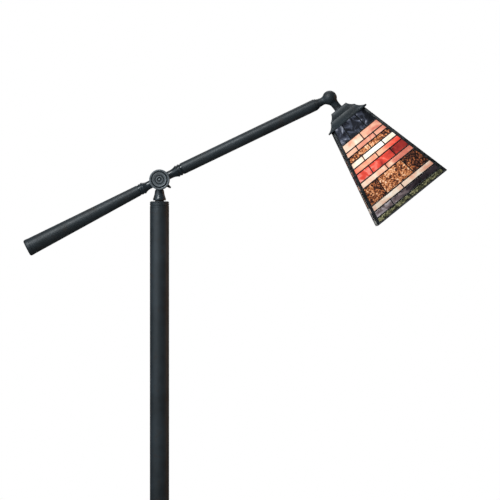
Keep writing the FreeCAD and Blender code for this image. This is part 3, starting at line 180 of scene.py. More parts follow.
# Sprayed lacquer gives the eye a satin, slightly cloudy dark surface with a faint orange peel, a warmer
# brown where it lies thin, and a lighter grey metal on the raised rims, partly bare metal rubbed
# through the lacquer and partly a painted highlight. Its clouds are 45 mm, its thin spots 16 mm and its
# peel 4 mm across. The flake, 0.1 mm in the real one, is drawn at 1.4 mm to show.
bronze_lacquer, tree, shader, place = new_material("satin_bronze_lacquer")
clouds = add_node(tree, "ShaderNodeTexNoise", {
    "Vector": place, "Scale": 1 / (45 * MM), "Detail": 3.0})
thin = add_node(tree, "ShaderNodeTexNoise", {
    "Vector": place, "Scale": 1 / (16.4 * MM), "Detail": 6.0, "Roughness": 0.62})
flake = add_node(tree, "ShaderNodeTexVoronoi", {"Vector": place, "Scale": 1 / (1.4 * MM)})
peel = add_node(tree, "ShaderNodeTexNoise", {
    "Vector": place, "Scale": 1 / (4.2 * MM), "Detail": 1.0})
# Rims marked lighter: partly rubbed wear, partly a painted highlight.
wear_and_highlight_share = add_node(tree, "ShaderNodeAttribute", output="Fac", attribute_name="wear_and_highlight")
cloud_share = add_node(tree, "ShaderNodeMapRange", {
    "Value": clouds, "From Min": 0.35, "From Max": 0.65})
thin_share = add_node(tree, "ShaderNodeMapRange", {
    "Value": thin, "From Min": 0.55, "From Max": 0.74, "To Max": 0.7})
flake_share = add_node(tree, "ShaderNodeMapRange", {
    "Value": flake, "From Min": 0.12, "From Max": 0.0, "To Max": 0.16})
coat = colour("#1f2528")
for share, code in ((cloud_share, "#283035"), (thin_share, "#2d241d"), (flake_share, "#56626a"),
                    (wear_and_highlight_share, "#a3aaae")):
    coat = add_node(tree, "ShaderNodeMix", {
        0: share, 6: coat, 7: colour(code)}, output=2, data_type="RGBA")
fill(tree, shader, {
    "Base Color": coat,
    "Metallic": add_node(tree, "ShaderNodeMapRange", {"Value": wear_and_highlight_share, "To Max": 0.8}),
    "Roughness": add_node(tree, "ShaderNodeMapRange", {
        "Value": thin, "From Min": 0.3, "From Max": 0.7, "To Min": 0.46, "To Max": 0.58},
        name="gloss"),
    "Normal": add_node(tree, "ShaderNodeBump", {"Height": peel, "Distance": 0.03 * MM}),
})

# The yoke, the lever and the hub with its ferrules are polished before they are sprayed, so the same
# lacquer lies smoother on them and gives the eye smaller and brighter lights.
polished_lacquer = bronze_lacquer.copy()
polished_lacquer.name = "polished_bronze_lacquer"
fill(polished_lacquer.node_tree, polished_lacquer.node_tree.nodes["gloss"],
     {"To Min": 0.27, "To Max": 0.36})

# Base
# A cast-iron disc stands on a felt pad under a spun steel cover, which has a rolled shoulder and rises
# in a shallow cone to a flat collar. The cord enters at the back through a black bushing.
WELD = 0.002  # points nearer than this many millimetres are one


def arc_points(start, via, end, steps=12):
    """Points of the arc from start through via to end, without its first point."""
    to_via = via - start
    to_end = end - start
    twice = 2 * to_via.cross(to_end)
    centre = start + Vector((
        to_end.y * to_via.length_squared - to_via.y * to_end.length_squared,
        to_via.x * to_end.length_squared - to_end.x * to_via.length_squared)) / twice
    first = math.atan2(start.y - centre.y, start.x - centre.x)
    last = math.atan2(end.y - centre.y, end.x - centre.x)
    sweep = (last - first) % (2 * math.pi)
    if twice < 0:
        sweep -= 2 * math.pi
    radius = (start - centre).length
    angles = [first + sweep * step / steps for step in range(1, steps + 1)]
    return [centre + Vector((math.cos(angle), math.sin(angle))) * radius for angle in angles]


def rounded_corner(before, here, after, radius, steps=4):
    """A corner of an outline, rounded off to a small radius."""
    back = before - here
    ahead = after - here
    reach = radius / math.tan(back.angle(ahead) / 2)
    reach = min(reach, back.length * 0.45, ahead.length * 0.45)
    start = here + back.normalized() * reach
    end = here + ahead.normalized() * reach
    return [start * (1 - share) ** 2 + here * 2 * share * (1 - share) + end * share ** 2
            for share in (step / steps for step in range(steps + 1))]


def outline_points(outline):
    """Half of a section, in millimetres. (r, z) is a sharp corner, (r, z, radius) a rounded one, and
    (r, z, "via") a point on an arc between the corners next to it."""
    points = []
    for place, item in enumerate(outline):
        here = Vector(item[:2])
        before = Vector(outline[place - 1][:2])
        after = Vector(outline[(place + 1) % len(outline)][:2])
        if len(item) == 2:
            points.append(here)
        elif item[2] == "via":
            taken = (points[-1] - before).length
            points += [point for point in arc_points(before, here, after)[:-1]
                       if (point - before).length > taken]
        else:
            curve = rounded_corner(before, here, after, item[2])
            while points and (points[-1] - here).length < (curve[0] - here).length:
                points.pop()
            points += curve
    kept = points[:1]
    for point in points[1:]:
        if (point - kept[-1]).length > 2 * WELD:
            kept.append(point)
    return kept


def pick(*pieces):
    """Selects these pieces alone, with the first one active."""
    bpy.ops.object.select_all(action="DESELECT")
    for piece in pieces:
        piece.select_set(True)
    bpy.context.view_layer.objects.active = pieces[0]


def put(piece, place):
    """Moves a piece to its frame, with its place kept in its mesh."""
    piece.data.transform(place @ piece.matrix_basis)
    piece.matrix_basis = Matrix()
    return piece


def turn_on_lathe(name, outline, place=Matrix(), closed=False, steps=80):
    """Draws half of a section from point to point, spins it about Z and puts it in its place."""
    points = outline_points(outline)
    if closed:
        points.append(points[0])
    piece = add_piece(name, bpy.ops.mesh.primitive_plane_add, size=MM)
    bpy.ops.object.mode_set(mode="EDIT")
    bpy.ops.mesh.select_mode(type="VERT")
    bpy.ops.mesh.select_all(action="SELECT")
    bpy.ops.mesh.merge(type="CENTER")
    bpy.ops.transform.translate(value=(points[0].x * MM, 0, points[0].y * MM))
    for before, after in zip(points, points[1:]):
        step = after - before
        bpy.ops.mesh.extrude_vertices_move(
            TRANSFORM_OT_translate={"value": (step.x * MM, 0, step.y * MM)})
    bpy.ops.mesh.select_all(action="SELECT")
    bpy.ops.mesh.spin(steps=steps, angle=2 * math.pi, center=(0, 0, 0), axis=(0, 0, 1))
    bpy.ops.mesh.select_all(action="SELECT")
    bpy.ops.mesh.remove_doubles(threshold=WELD * MM)
    bpy.ops.mesh.delete_loose(use_faces=False)
    bpy.ops.mesh.normals_make_consistent(inside=False)
    bpy.ops.object.mode_set(mode="OBJECT")
    if sum(face.center.dot(face.normal) * face.area for face in piece.data.polygons) < 0:
        piece.data.flip_normals()
    return put(piece, place)


def join(name, pieces):
    pick(*pieces)
    bpy.ops.object.join()
    pieces[0].name = name
    return pieces[0]


def finish(piece, body, material, node, crease=30):
    """Gives a piece its shading, material and body, and hides the CAD node that it stands for."""
    pick(piece)
    bpy.ops.object.shade_smooth_by_angle(angle=math.radians(crease))
    piece.data.materials.clear()
    piece.data.materials.append(material)
    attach(piece, body)
    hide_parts(node)


def paint(material, *names):
    """Gives CAD nodes that stay as they are a material."""
    for name in names:
        for part in frame["nodes"][name].material_slots:
            part.material = material


cover = turn_on_lathe("base_cover_spun", [
    (8.4, 42, 0.3), (27.0, 42, 1.5), (37.0, 37.8, 6.0), (79.0, 28.4), (121.0, 22.6, 6.0),
    (124.5, 21.0, 1.2), (131.5, 20.8, 2.0), (137.6, 18.9, 4.5), (140.0, 12.0, 4.0),
    (140.0, 3.1, 0.5), (138.5, 3.1), (138.5, 11.6), (136.3, 17.4, 3.0), (131.2, 19.3),
    (124.0, 19.5), (120.6, 21.0), (79.0, 26.8), (36.4, 36.2), (26.7, 40.5), (8.4, 40.5),
], closed=True, steps=128)
finish(cover, "stand", bronze_lacquer, "base_cover")


def mottled_finish(name, patch, detail, dark, pale, sockets, gloss=None, bump=None, grit=0.5):
    """A finish in patches of two colours, over which its roughness may run from one end of gloss to
    the other. The patches' size and the bump's height are in millimetres."""
    material, tree, shader, place = new_material(name)
    patches = add_node(tree, "ShaderNodeTexNoise", {
        "Vector": place, "Scale": 1 / (patch * MM), "Detail": detail, "Roughness": grit})
    fill(tree, shader, sockets)
    fill(tree, shader, {"Base Color": add_node(tree, "ShaderNodeMix", {
        0: patches, 6: colour(dark), 7: colour(pale)}, output=2, data_type="RGBA")})
    if gloss:
        fill(tree, shader, {"Roughness": add_node(tree, "ShaderNodeMapRange", {
            "Value": patches, "From Min": 0.3, "From Max": 0.7,
            "To Min": gloss[0], "To Max": gloss[1]})})
    if bump:
        fill(tree, shader, {"Normal": add_node(tree, "ShaderNodeBump", {
            "Height": patches, "Distance": bump * MM})})
    return material


# Pressed wool felt gives the eye a dull black nap of loose fibres, matted about 1 mm apart.
felt = mottled_finish("black_wool_felt", 1.1, 6.0, "#15171a", "#2b2d30",
                      {"Roughness": 0.95, "Sheen Weight": 0.3}, bump=0.4, grit=0.7)
paint(felt, "base_pad")

# Iron as it leaves the sand mould gives the eye a rough dark grey skin with a trace of brown. The
# mould's grit, about 0.5 mm, is drawn at 2.4 mm to show.
raw_iron = mottled_finish("sand_cast_iron", 2.4, 8.0, "#1f1f1f", "#3c3936",
                          {"Metallic": 0.6, "Roughness": 0.7}, bump=0.5, grit=0.7)
paint(raw_iron, "base_weight", "counterweight_core")

# Phenolic plastic, moulded in polished steel, gives the eye a deep black with a soft shine, faintly
# cloudy at 9 mm and finely grained at 0.7 mm.
black_plastic, tree, shader, place = new_material("moulded_black_plastic")
flow = add_node(tree, "ShaderNodeTexNoise", {
    "Vector": place, "Scale": 1 / (9 * MM), "Detail": 3.0})
grain = add_node(tree, "ShaderNodeTexNoise", {
    "Vector": place, "Scale": 1 / (0.7 * MM), "Detail": 2.0})
fill(tree, shader, {
    "Base Color": add_node(tree, "ShaderNodeMix", {
        0: flow, 6: colour("#161617"), 7: colour("#222224")}, output=2, data_type="RGBA"),
    "Roughness": add_node(tree, "ShaderNodeMapRange", {
        "Value": grain, "From Min": 0.3, "From Max": 0.7, "To Min": 0.34, "To Max": 0.46}),
    "Normal": add_node(tree, "ShaderNodeBump", {"Height": grain, "Distance": 0.04 * MM}),
})

BUSHING_LEVEL = 8.2
across = Matrix.Rotation(-math.pi / 2, 4, "X")
bushing = turn_on_lathe("cord_bushing_moulded", [
    (3.6, 133.6), (4.5, 133.6, 0.3), (4.5, 140.1), (6.0, 140.1, 0.3), (6.0, 141.7, 0.8),
    (5.2, 142.8, 0.6), (3.9, 142.8, 0.5), (3.6, 141.6),
], Matrix.Translation((0, 0, BUSHING_LEVEL * MM)) @ across, closed=True, steps=40)
finish(bushing, "stand", black_plastic, "cord_bushing", crease=38)

# Pole
# Two lengths of steel tube with a turned foot screwed over the base rod, a half-round ring where the
# lengths meet, and a turned cap with two fine grooves, all under the same lacquer.
POLE_RADIUS = 19.25
TUBE_WALL = 1.5

foot = turn_on_lathe("pole_foot_turned", [
    (8.1, 42.05), (29.9, 42.05, 0.4), (30.0, 45.0, 1.0), (28.4, 45.9, 0.4), (23.6, 55.5, 14.0),
    (22.4, 65.2, 1.0), (23.1, 66.2, 0.5), (23.1, 68.2, 0.5), (22.1, 69.0, 0.4), (22.0, 70.6, 0.5),
    (21.2, 71.0, 0.3), (19.3, 71.0), (19.3, 50.0), (17.7, 50.0), (17.7, 84.0, 0.8), (8.1, 84.0),
], closed=True)
finish(foot, "stand", bronze_lacquer, "pole_foot")

joint_ring = turn_on_lathe("pole_ring_turned", [
    (17.8, 548.02), (19.5, 548.02, 0.3), (19.9, 549.6, 0.3), (21.5, 554.0, "via"),
    (19.9, 558.4, 0.3), (19.5, 559.98, 0.3), (17.8, 559.98),
], closed=True)
finish(joint_ring, "stand", bronze_lacquer, "pole_joint_ring")


def tube(name, radius, low, high, place=Matrix()):
    """A length of drawn tube with its ends broken."""
    inner = radius - TUBE_WALL
    return turn_on_lathe(name, [
        (inner, low, 0.2), (radius, low, 0.35), (radius, high, 0.35), (inner, high, 0.2),
    ], place, closed=True, steps=96)


for part, low, high in (("lower", 50.0, 548.0), ("upper", 560.0, 1164.0)):
    finish(tube(f"pole_tube_{part}", POLE_RADIUS, low, high), "stand",
           bronze_lacquer, f"pole_{part}", crease=38)

# Zinc plating gives the eye a pale grey metal, brighter and duller in soft patches about 6 mm wide.
zinc_plate = mottled_finish("zinc_plated_steel", 6.2, 4.0, "#8d8f90", "#b4b5b2",
                            {"Metallic": 1.0}, gloss=(0.28, 0.42))
paint(zinc_plate, "base_rod", "base_washer", "base_lock_nut", "pole_coupler", "swivel_stop",
      "swivel_nut", "disc_spring", "arm_plugs", "spindle_nut", "ball_washer")

cap = turn_on_lathe("pole_cap_turned", [
    (7.05, 1176.8), (17.5, 1176.8, 0.5), (19.25, 1175.0, 0.9), (19.25, 1174.2, 0.2),
    (18.7, 1174.0, 0.2), (18.7, 1172.8, 0.2), (19.25, 1172.6, 0.2), (19.25, 1168.8, 0.2),
    (18.7, 1168.6, 0.2), (18.7, 1167.4, 0.2), (19.25, 1167.2, 0.2), (19.25, 1164.05, 0.3),
    (17.7, 1164.05), (17.7, 1140.0), (14.5, 1140.0), (14.5, 1166.0), (7.05, 1166.0),
], closed=True, steps=96)
finish(cap, "stand", bronze_lacquer, "pole_cap")

# Extruded vinyl gives the eye a smooth dark brown skin with a dull shine, scuffed in 3 mm patches.
cable_jacket = mottled_finish("brown_cable_jacket", 3.0, 4.0, "#221a16", "#352a23", {},
                              gloss=(0.42, 0.58))
paint(cable_jacket, "pole_lead", "arm_lead")

# Vulcanised fibre, punched from sheet, gives the eye a dull brown with a papery mottle of 1.4 mm.
fibre = mottled_finish("brown_vulcanised_fibre", 1.4, 5.0, "#2c1f17", "#4a3526",
                       {"Roughness": 0.75})
paint(fibre, "swivel_washer", "friction_washers")

# Yoke
# One zinc casting turns on the pole cap: a bell-shaped neck that opens into a fork, and two round ears
# that hold the arm's hub. The front ear has a raised bead round its rim.
FORK_FLATNESS = 0.62
joints = {joint["name"]: joint for joint in frame["joints"]}
pivot = Matrix.Translation(joints["arm_tilt"]["pos_m"])


def cast(name, pieces, grain_size, passes):
    """Melts overlapping pieces into one body, with its inner corners filled as in a mould."""
    body = join(name, pieces)
    melt = body.modifiers.new("melt", "REMESH")
    melt.mode = "VOXEL"
    melt.voxel_size = grain_size * MM
    bpy.ops.object.modifier_apply(modifier=melt.name)
    soften = body.modifiers.new("soften", "SMOOTH")
    soften.factor = 0.5
    soften.iterations = passes
    bpy.ops.object.modifier_apply(modifier=soften.name)
    return body


def carve(body, tool):
    """Cuts one closed shape out of another."""
    pick(body)
    hole = body.modifiers.new("hole", "BOOLEAN")
    hole.operation = "DIFFERENCE"
    hole.solver = "EXACT"
    hole.object = tool
    bpy.ops.object.modifier_apply(modifier=hole.name)
    bpy.data.objects.remove(tool)


def bore(body, radius, low, high, steps=40):
    """Bores a round hole across a body, between two depths in millimetres."""
    carve(body, turn_on_lathe("cutter", [(0, low), (radius, low), (radius, high), (0, high)],
                              across, steps=steps))


def paint_wear_and_highlight(piece, place, inner, outer, low, high, amount):
    """Paints a ring of a piece lighter, as rubbed wear and a painted highlight: its radii and heights
    in the ring's own frame.
    """
    if "wear_and_highlight" not in piece.data.attributes:
        piece.data.attributes.new("wear_and_highlight", "FLOAT", "POINT")
    wear = piece.data.attributes["wear_and_highlight"].data
    back = place.inverted()
    for point, mark in zip(piece.data.vertices, wear):
        local = back @ point.co / MM
        if low <= local.z <= high and inner <= math.hypot(local.x, local.y) <= outer:
            mark.value = amount


neck = turn_on_lathe("neck", [
    (0, -66), (7.0, -66, 0.5), (7.0, -41.5), (12.9, -41.5, 0.5), (13.0, -37.8, 0.8),
    (10.7, -31.2, "via"), (9.5, -24.6), (9.2, -21.6), (7.0, -19.0), (0, -19.0),
])
fork = turn_on_lathe("fork", [
    (0, -30.0), (8.4, -30.0), (9.6, -20.5, "via"), (15.2, -11.0), (15.2, -8.0), (0, -8.0),
], Matrix.Diagonal((FORK_FLATNESS, 1, 1, 1)))
front_ear = turn_on_lathe("front_ear", [
    (0, -10.2), (20.5, -10.2, 0.4), (20.5, -15.8, 0.3), (20.0, -17.0, "via"), (18.5, -17.3),
    (17.0, -17.0, "via"), (16.5, -15.8), (16.3, -15.25), (0, -15.25),
], across, steps=96)
rear_ear = turn_on_lathe("rear_ear", [
    (0, 10.2), (20.5, 10.2, 0.4), (20.5, 15.25, 1.2), (0, 15.25),
], across, steps=96)
yoke = cast("yoke_casting", [neck, fork, front_ear, rear_ear], 0.45, 3)
bore(yoke, 19.9, -10.25, 10.25, steps=96)
put(yoke, pivot)
# Painted highlight and wear: the bead on the front ear's rim is painted lighter.
paint_wear_and_highlight(yoke, pivot @ across, 16.4, 20.5, -17.6, -15.4, 0.35)
finish(yoke, "swivel", polished_lacquer, "yoke", crease=40)

# Pivot bolt
# The bolt that clamps the ears has a broad turned head: a beaded rim, a fine groove, a shallow dish and
# a small domed stud in a recess at its centre. A disc spring and the tension lever are behind.
BOLT_HOLE = 4.05
LEVER_DROP = 35.6

bolt = turn_on_lathe("pivot_bolt_turned", [
    (0, -17.5), (1.2, -17.3), (2.1, -16.6, 0.3), (2.1, -16.2), (4.3, -16.2, 0.2), (4.5, -17.3, 0.3),
    (5.6, -17.3), (6.4, -17.25), (7.3, -17.2),
    (8.8, -17.2, 0.3), (9.0, -16.7, 0.2), (9.5, -16.7, 0.2), (9.7, -17.3, 0.3), (12.0, -17.4, 0.4),
    (13.7, -18.2, "via"), (15.3, -17.4), (15.3, -15.3, 0.3), (4.0, -15.3), (4.0, 29.8, 0.6),
    (0, 29.8),
], pivot @ across, steps=96)
# Painted highlights and wear: the domed stud and three rings of the head are painted lighter.
for inner, outer, high, amount in ((0.0, 1.9, -16.7, 1.0), (5.5, 6.5, -17.0, 0.4),
                                   (9.7, 12.0, -16.9, 0.22), (12.2, 13.9, -17.3, 0.5)):
    paint_wear_and_highlight(bolt, pivot @ across, inner, outer, -18.6, high, amount)
finish(bolt, "swivel", bronze_lacquer, "pivot_bolt")

boss = turn_on_lathe("boss", [
    (0, 17.9), (8.8, 17.9, 0.6), (9.0, 22.0, 1.0), (9.0, 26.3, 1.4), (6.8, 27.8, 0.8), (0, 27.8),
], across, steps=64)
lever_arm = add_block("lever_arm", (0, 20.4, -7.4), (25.4, 25.3, 7.4))
select_parts(lever_arm, "FACE", lambda face: face.normal.x > 0.9)
bpy.ops.transform.resize(value=(1, 0.8, 0.28))
bpy.ops.mesh.extrude_region_move(TRANSFORM_OT_translate={"value": (2.2 * MM, 0, 0)})
bpy.ops.transform.resize(value=(1, 0.8, 0.55))
bpy.ops.object.mode_set(mode="OBJECT")
put(lever_arm, Matrix.Rotation(math.radians(LEVER_DROP), 4, "Y"))
lever = cast("tension_lever_cast", [boss, lever_arm], 0.3, 4)
bore(lever, BOLT_HOLE, 15, 30)
put(lever, pivot)
finish(lever, "lever", polished_lacquer, "tension_lever", crease=40)

# Arm
# A zinc hub turns between the ears, with a bell-shaped stub on each side. A beaded ferrule leads to the
# steel arm tube in front, and another to the tapered counterweight behind, which has a rounded end cap.
ARM_RISE = 25.7
COUNTERWEIGHT_DROP = 27.4
along_arm = Matrix.Rotation(math.radians(90 - ARM_RISE), 4, "Y")
along_rear = Matrix.Rotation(math.radians(-90 - COUNTERWEIGHT_DROP), 4, "Y")

drum = turn_on_lathe("drum", [
    (0, -9.2), (19.5, -9.2, 0.8), (19.5, 9.2, 0.8), (0, 9.2),
], across, steps=96)
front_stub = turn_on_lathe("front_stub", [
    (0, 10), (8.3, 10), (8.3, 26.5), (9.2, 32.6, "via"), (11.7, 38.4), (12.1, 39.5, "via"),
    (12.0, 40.6), (10.6, 41.2), (10.6, 42.4), (11.3, 43.2, 0.2), (6.0, 43.2), (6.0, 64.2, 0.5),
    (0, 64.2),
], along_arm)
rear_stub = turn_on_lathe("rear_stub", [
    (0, 10), (8.3, 10), (8.3, 25.2), (9.2, 30.4, "via"), (11.7, 35.4), (12.1, 36.5, "via"),
    (12.0, 37.6), (10.6, 38.2), (10.6, 39.4), (11.3, 40.2, 0.2), (6.0, 40.2), (6.0, 61.2, 0.5),
    (0, 61.2),
], along_rear)
hub = cast("arm_hub_casting", [drum, front_stub, rear_stub], 0.5, 3)
bore(hub, BOLT_HOLE, -12, 12)
put(hub, pivot)
finish(hub, "arm", polished_lacquer, "arm_hub", crease=40)

front_ferrule = turn_on_lathe("front_ferrule", [
    (6.05, 43.25), (11.3, 43.25, 0.2), (11.9, 45.4, "via"), (11.2, 47.4), (10.3, 47.8),
    (10.3, 48.9), (11.2, 49.2, 0.2), (11.2, 50.95, 0.3), (6.05, 50.95),
], along_arm, closed=True)
rear_ferrule = turn_on_lathe("rear_ferrule", [
    (6.05, 40.25), (10.8, 40.25, 0.2), (11.3, 42.1, "via"), (10.8, 43.9), (9.8, 44.3),
    (9.8, 45.3), (10.6, 45.6, 0.2), (10.6, 46.95, 0.3), (6.05, 46.95),
], along_rear, closed=True)
ferrules = put(join("arm_ferrules_turned", [front_ferrule, rear_ferrule]), pivot)
finish(ferrules, "arm", polished_lacquer, "arm_ferrules")

arm_tube = tube("arm_tube_drawn", 11.75, 51.0, 345.0, pivot @ along_arm)
finish(arm_tube, "arm", bronze_lacquer, "arm_tube", crease=38)

tip = turn_on_lathe("arm_tip_turned", [
    (5.05, 341.0), (8.5, 341.0), (8.5, 330.0), (10.2, 330.0), (10.2, 345.05), (11.75, 345.05, 0.2),
    (11.75, 346.0, 0.8), (10.7, 346.9, 0.4), (10.7, 349.2, 0.5), (10.1, 350.05, 0.4), (5.05, 350.05),
], pivot @ along_arm, closed=True)
finish(tip, "arm", bronze_lacquer, "arm_tip")

sleeve = turn_on_lathe("counterweight_sleeve_drawn", [
    (9.4, 47.0, 0.2), (10.9, 47.0, 0.5), (16.85, 290.0, 0.3), (15.35, 290.0, 0.2),
], pivot @ along_rear, closed=True, steps=96)
finish(sleeve, "arm", bronze_lacquer, "counterweight_sleeve", crease=38)

end_cap = turn_on_lathe("counterweight_cap_turned", [
    (0, 280.0), (15.0, 280.0), (15.2, 290.05), (17.2, 290.05, 0.4), (17.2, 297.0, 2.6),
    (14.8, 299.0, 1.6), (0, 299.05),
], pivot @ along_rear, steps=96)
finish(end_cap, "arm", bronze_lacquer, "counterweight_cap")

# Ball joint
# A cast ball, split down the middle, joins the arm to the shade. Its front half is one piece with the
# neck that turns in the arm's end, and its rear half carries the stem of the shade. A domed screw in a
# recess at the back draws them together.
HALF_SPLIT = 0.03
SHADE_DROP = 51.0
ball_place = Matrix.Translation(joints["shade_tilt"]["pos_m"])
towards_arm = Matrix.Rotation(math.radians(-90 - ARM_RISE), 4, "Y")
along_shade = Matrix.Rotation(math.radians(90 + SHADE_DROP), 4, "Y")
shade_frame = ball_place @ along_shade


def ball_room(side):
    """Room for the other half of the ball, up to the split."""
    return turn_on_lathe("ball_room", [
        (0, -15.0 * side), (10.6, -10.6 * side, "via"), (15.0, 0), (15.0, HALF_SPLIT * side),
        (0, HALF_SPLIT * side),
    ], across, steps=96)


front_half = turn_on_lathe("ball_front_half_cast", [
    (0, -14.5), (14.5, 0, "via"), (9.6, 10.87), (8.2, 13.6, "via"), (7.8, 17.6), (8.7, 25.0),
    (9.3, 25.8, "via"), (9.1, 27.7, 0.3), (5.0, 27.7), (5.0, 44.0, 0.4), (0, 44.0),
], towards_arm, steps=96)
carve(front_half, ball_room(-1))
put(front_half, ball_place)
finish(front_half, "ball", bronze_lacquer, "ball_front_half", crease=40)

rear_half = turn_on_lathe("ball_rear_half_cast", [
    (0, -14.5), (14.5, 0, "via"), (9.9, 10.6), (8.7, 13.6, "via"), (8.2, 17.6), (8.2, 23.7),
    (8.4, 25.8, "via"), (9.0, 27.6, 0.2), (0, 27.6),
], along_shade, steps=96)
carve(rear_half, ball_room(1))
bore(rear_half, 3.8, 9.0, 16)
put(rear_half, ball_place)
finish(rear_half, "shade", bronze_lacquer, "ball_rear_half", crease=40)

screw = turn_on_lathe("ball_screw_turned", [
    (0, -9), (2.0, -9), (2.0, 9.85), (3.4, 9.85, 0.2), (3.4, 11.3), (2.2, 12.2, "via"), (0, 12.45),
], steps=40)
carve(screw, add_block("slot_cutter", (-0.4, -4, 11.5), (0.4, 4, 13)))
put(screw, ball_place @ across)
finish(screw, "ball", zinc_plate, "ball_screw", crease=38)

# Canopy
# The shade hangs from a small square roof of pressed sheet steel with two hollow flares and a plain
# lip, lacquered like the arm. A threaded nipple with two lock nuts clamps it to the stem and the crown.


def rise(piece, edge):
    """How far an edge climbs from one end to the other."""
    low, high = (piece.data.vertices[end].co.z for end in edge.vertices)
    return abs(high - low)


def roof_shell(name, levels, thickness, corner):
    """A square roof drawn down from its top plate, level by level. Each level is (half width, z)."""
    shell = add_piece(name, bpy.ops.mesh.primitive_plane_add,
                      size=2 * levels[0][0] * MM, location=(0, 0, levels[0][1] * MM))
    bpy.ops.object.transform_apply(location=True)
    bpy.ops.object.mode_set(mode="EDIT")
    bpy.ops.mesh.select_all(action="SELECT")
    for (wide, level), (wider, lower) in zip(levels, levels[1:]):
        bpy.ops.mesh.extrude_region_move(
            TRANSFORM_OT_translate={"value": (0, 0, (lower - level) * MM)})
        bpy.ops.transform.resize(value=(wider / wide, wider / wide, 1))
    bpy.ops.mesh.delete(type="FACE")
    bpy.ops.mesh.select_all(action="SELECT")
    bpy.ops.mesh.normals_make_consistent(inside=False)
    select_parts(shell, "EDGE", lambda edge: rise(shell, edge) > WELD * MM)
    bpy.ops.mesh.bevel(offset=corner * MM, segments=4)
    bpy.ops.object.mode_set(mode="OBJECT")
    sheet = shell.modifiers.new("sheet", "SOLIDIFY")
    sheet.thickness = thickness * MM
    sheet.offset = -1
    bpy.ops.object.modifier_apply(modifier=sheet.name)
    return shell


upper_flare = [tuple(point) for point in arc_points(
    Vector((19.0, 29.25)), Vector((23.5, 35.6)), Vector((29.9, 40.3)), 8)]
lower_flare = [tuple(point) for point in arc_points(
    Vector((30.1, 40.95)), Vector((35.6, 48.6)), Vector((47.0, 54.95)), 10)]
canopy = roof_shell("canopy_pressed", [
    (18.0, 27.75), (18.6, 28.0), (19.0, 28.6), (19.0, 29.25), *upper_flare[:-1],
    (29.6, 40.1), (30.1, 40.4), (30.1, 40.95), *lower_flare[:-1],
    (46.7, 54.8), (47.0, 55.2), (47.0, 57.4), (46.8, 57.75),
], 1.0, 1.5)
put(canopy, shade_frame)
finish(canopy, "shade", bronze_lacquer, "canopy", crease=35)
paint(bronze_lacquer, "shade_crown")

# Unlacquered brass gives the eye a soft yellow metal, a little browner where it has tarnished in
# patches about 8 mm wide.
raw_brass = mottled_finish("turned_brass", 7.7, 5.0, "#9c7a3c", "#cfae6a", {"Metallic": 1.0},
                           gloss=(0.22, 0.4))
paint(raw_brass, "nipple", "nipple_nuts")

# Leading
# Each of the four panels is a lattice of soldered seams over copper foil, twelve rows high, with bands
# of three and of two pieces in turn. The solder is a low rounded bead, uneven as it is when run by
# hand, blackened with patina, and it spreads into a small blob at every joint.
PANEL_TOP = 56.0
PANEL_BOTTOM = 256.0
RIM_BOTTOM = 259.0
TOP_HALF_WIDTH = 40.8
RIM_HALF_WIDTH = 88.5
ROW_HEIGHTS = (35.5, 16.5, 10.5, 12.1, 11.5, 11.7, 18.3, 12.1, 36.8, 12.1, 13.3, 10.2)
ROW_CUTS = ((-0.46, 0.46), (0,))
CORNER = 5.2
SEAM = 2.4
SEAM_MIDDLE = 2.1
SEAM_REACH = 1.02
SIDE_SEAM = 0.995
BLOB_DEPTH = 4.9
BEAD_STEP = 2.2
BEAD_WAVE = 4.0
row_levels = [PANEL_TOP]
for height in ROW_HEIGHTS:
    row_levels.append(row_levels[-1] + height)
side_spread = (RIM_HALF_WIDTH - TOP_HALF_WIDTH) / (RIM_BOTTOM - PANEL_TOP)
slope = math.atan(side_spread)
outward = Vector((0, -math.cos(slope), -math.sin(slope)))


def half_width(level):
    """Half the shade's width, corner to corner, at a distance from the ball."""
    return TOP_HALF_WIDTH + (level - PANEL_TOP) * side_spread


def on_panel(share, level):
    """A point in the front panel's seams. The share runs from -1 to 1 between the corner cames."""
    wide = half_width(level)
    return Vector((share * (wide - CORNER), SEAM_MIDDLE - wide, level)) * MM


# Solder under black patina gives the eye a lumpy dark metal, matt black in its hollows and grey where
# the patina is wiped off. Its lumps are 3 mm and its stains 5 mm across.
patina, tree, shader, place = new_material("black_patina_solder")
stains = add_node(tree, "ShaderNodeTexNoise", {
    "Vector": place, "Scale": 1 / (4.8 * MM), "Detail": 5.0})
lumps = add_node(tree, "ShaderNodeTexNoise", {
    "Vector": place, "Scale": 1 / (3 * MM), "Detail": 2.0})
wiped = add_node(tree, "ShaderNodeMapRange", {
    "Value": stains, "From Min": 0.35, "From Max": 0.7})
fill(tree, shader, {
    "Base Color": add_node(tree, "ShaderNodeMix", {
        0: wiped, 6: colour("#17191b"), 7: colour("#3a3c3d")}, output=2, data_type="RGBA"),
    "Metallic": 0.7,
    "Roughness": add_node(tree, "ShaderNodeMapRange", {
        "Value": stains, "From Min": 0.3, "From Max": 0.7, "To Min": 0.3, "To Max": 0.5}),
    "Normal": add_node(tree, "ShaderNodeBump", {"Height": lumps, "Distance": 0.3 * MM}),
})


def solder_bead(first, last, width, depth, seed):
    """A rounded bead between two (share, level) places of the panel, uneven along its length."""
    start = on_panel(*first)
    end = on_panel(*last)
    run = end - start
    bead = add_piece("bead", bpy.ops.mesh.primitive_cylinder_add, vertices=12, radius=0.5, depth=1)
    select_parts(bead, "EDGE", lambda edge: rise(bead, edge) > 0.5)
    bpy.ops.mesh.subdivide(number_cuts=max(2, round(run.length / MM / BEAD_STEP)))
    bpy.ops.object.mode_set(mode="OBJECT")
    for point in bead.data.vertices:
        wave = noise.noise(Vector((seed * 7.3, 0, point.co.z * run.length / MM / BEAD_WAVE)))
        point.co.x *= 1 + 0.16 * wave
        point.co.y *= 1 + 0.07 * wave
    sideways = outward.cross(run.normalized())
    turn = Matrix((sideways * width * MM, outward * depth * MM, run)).transposed().to_4x4()
    return put(bead, Matrix.Translation((start + end) / 2) @ turn)


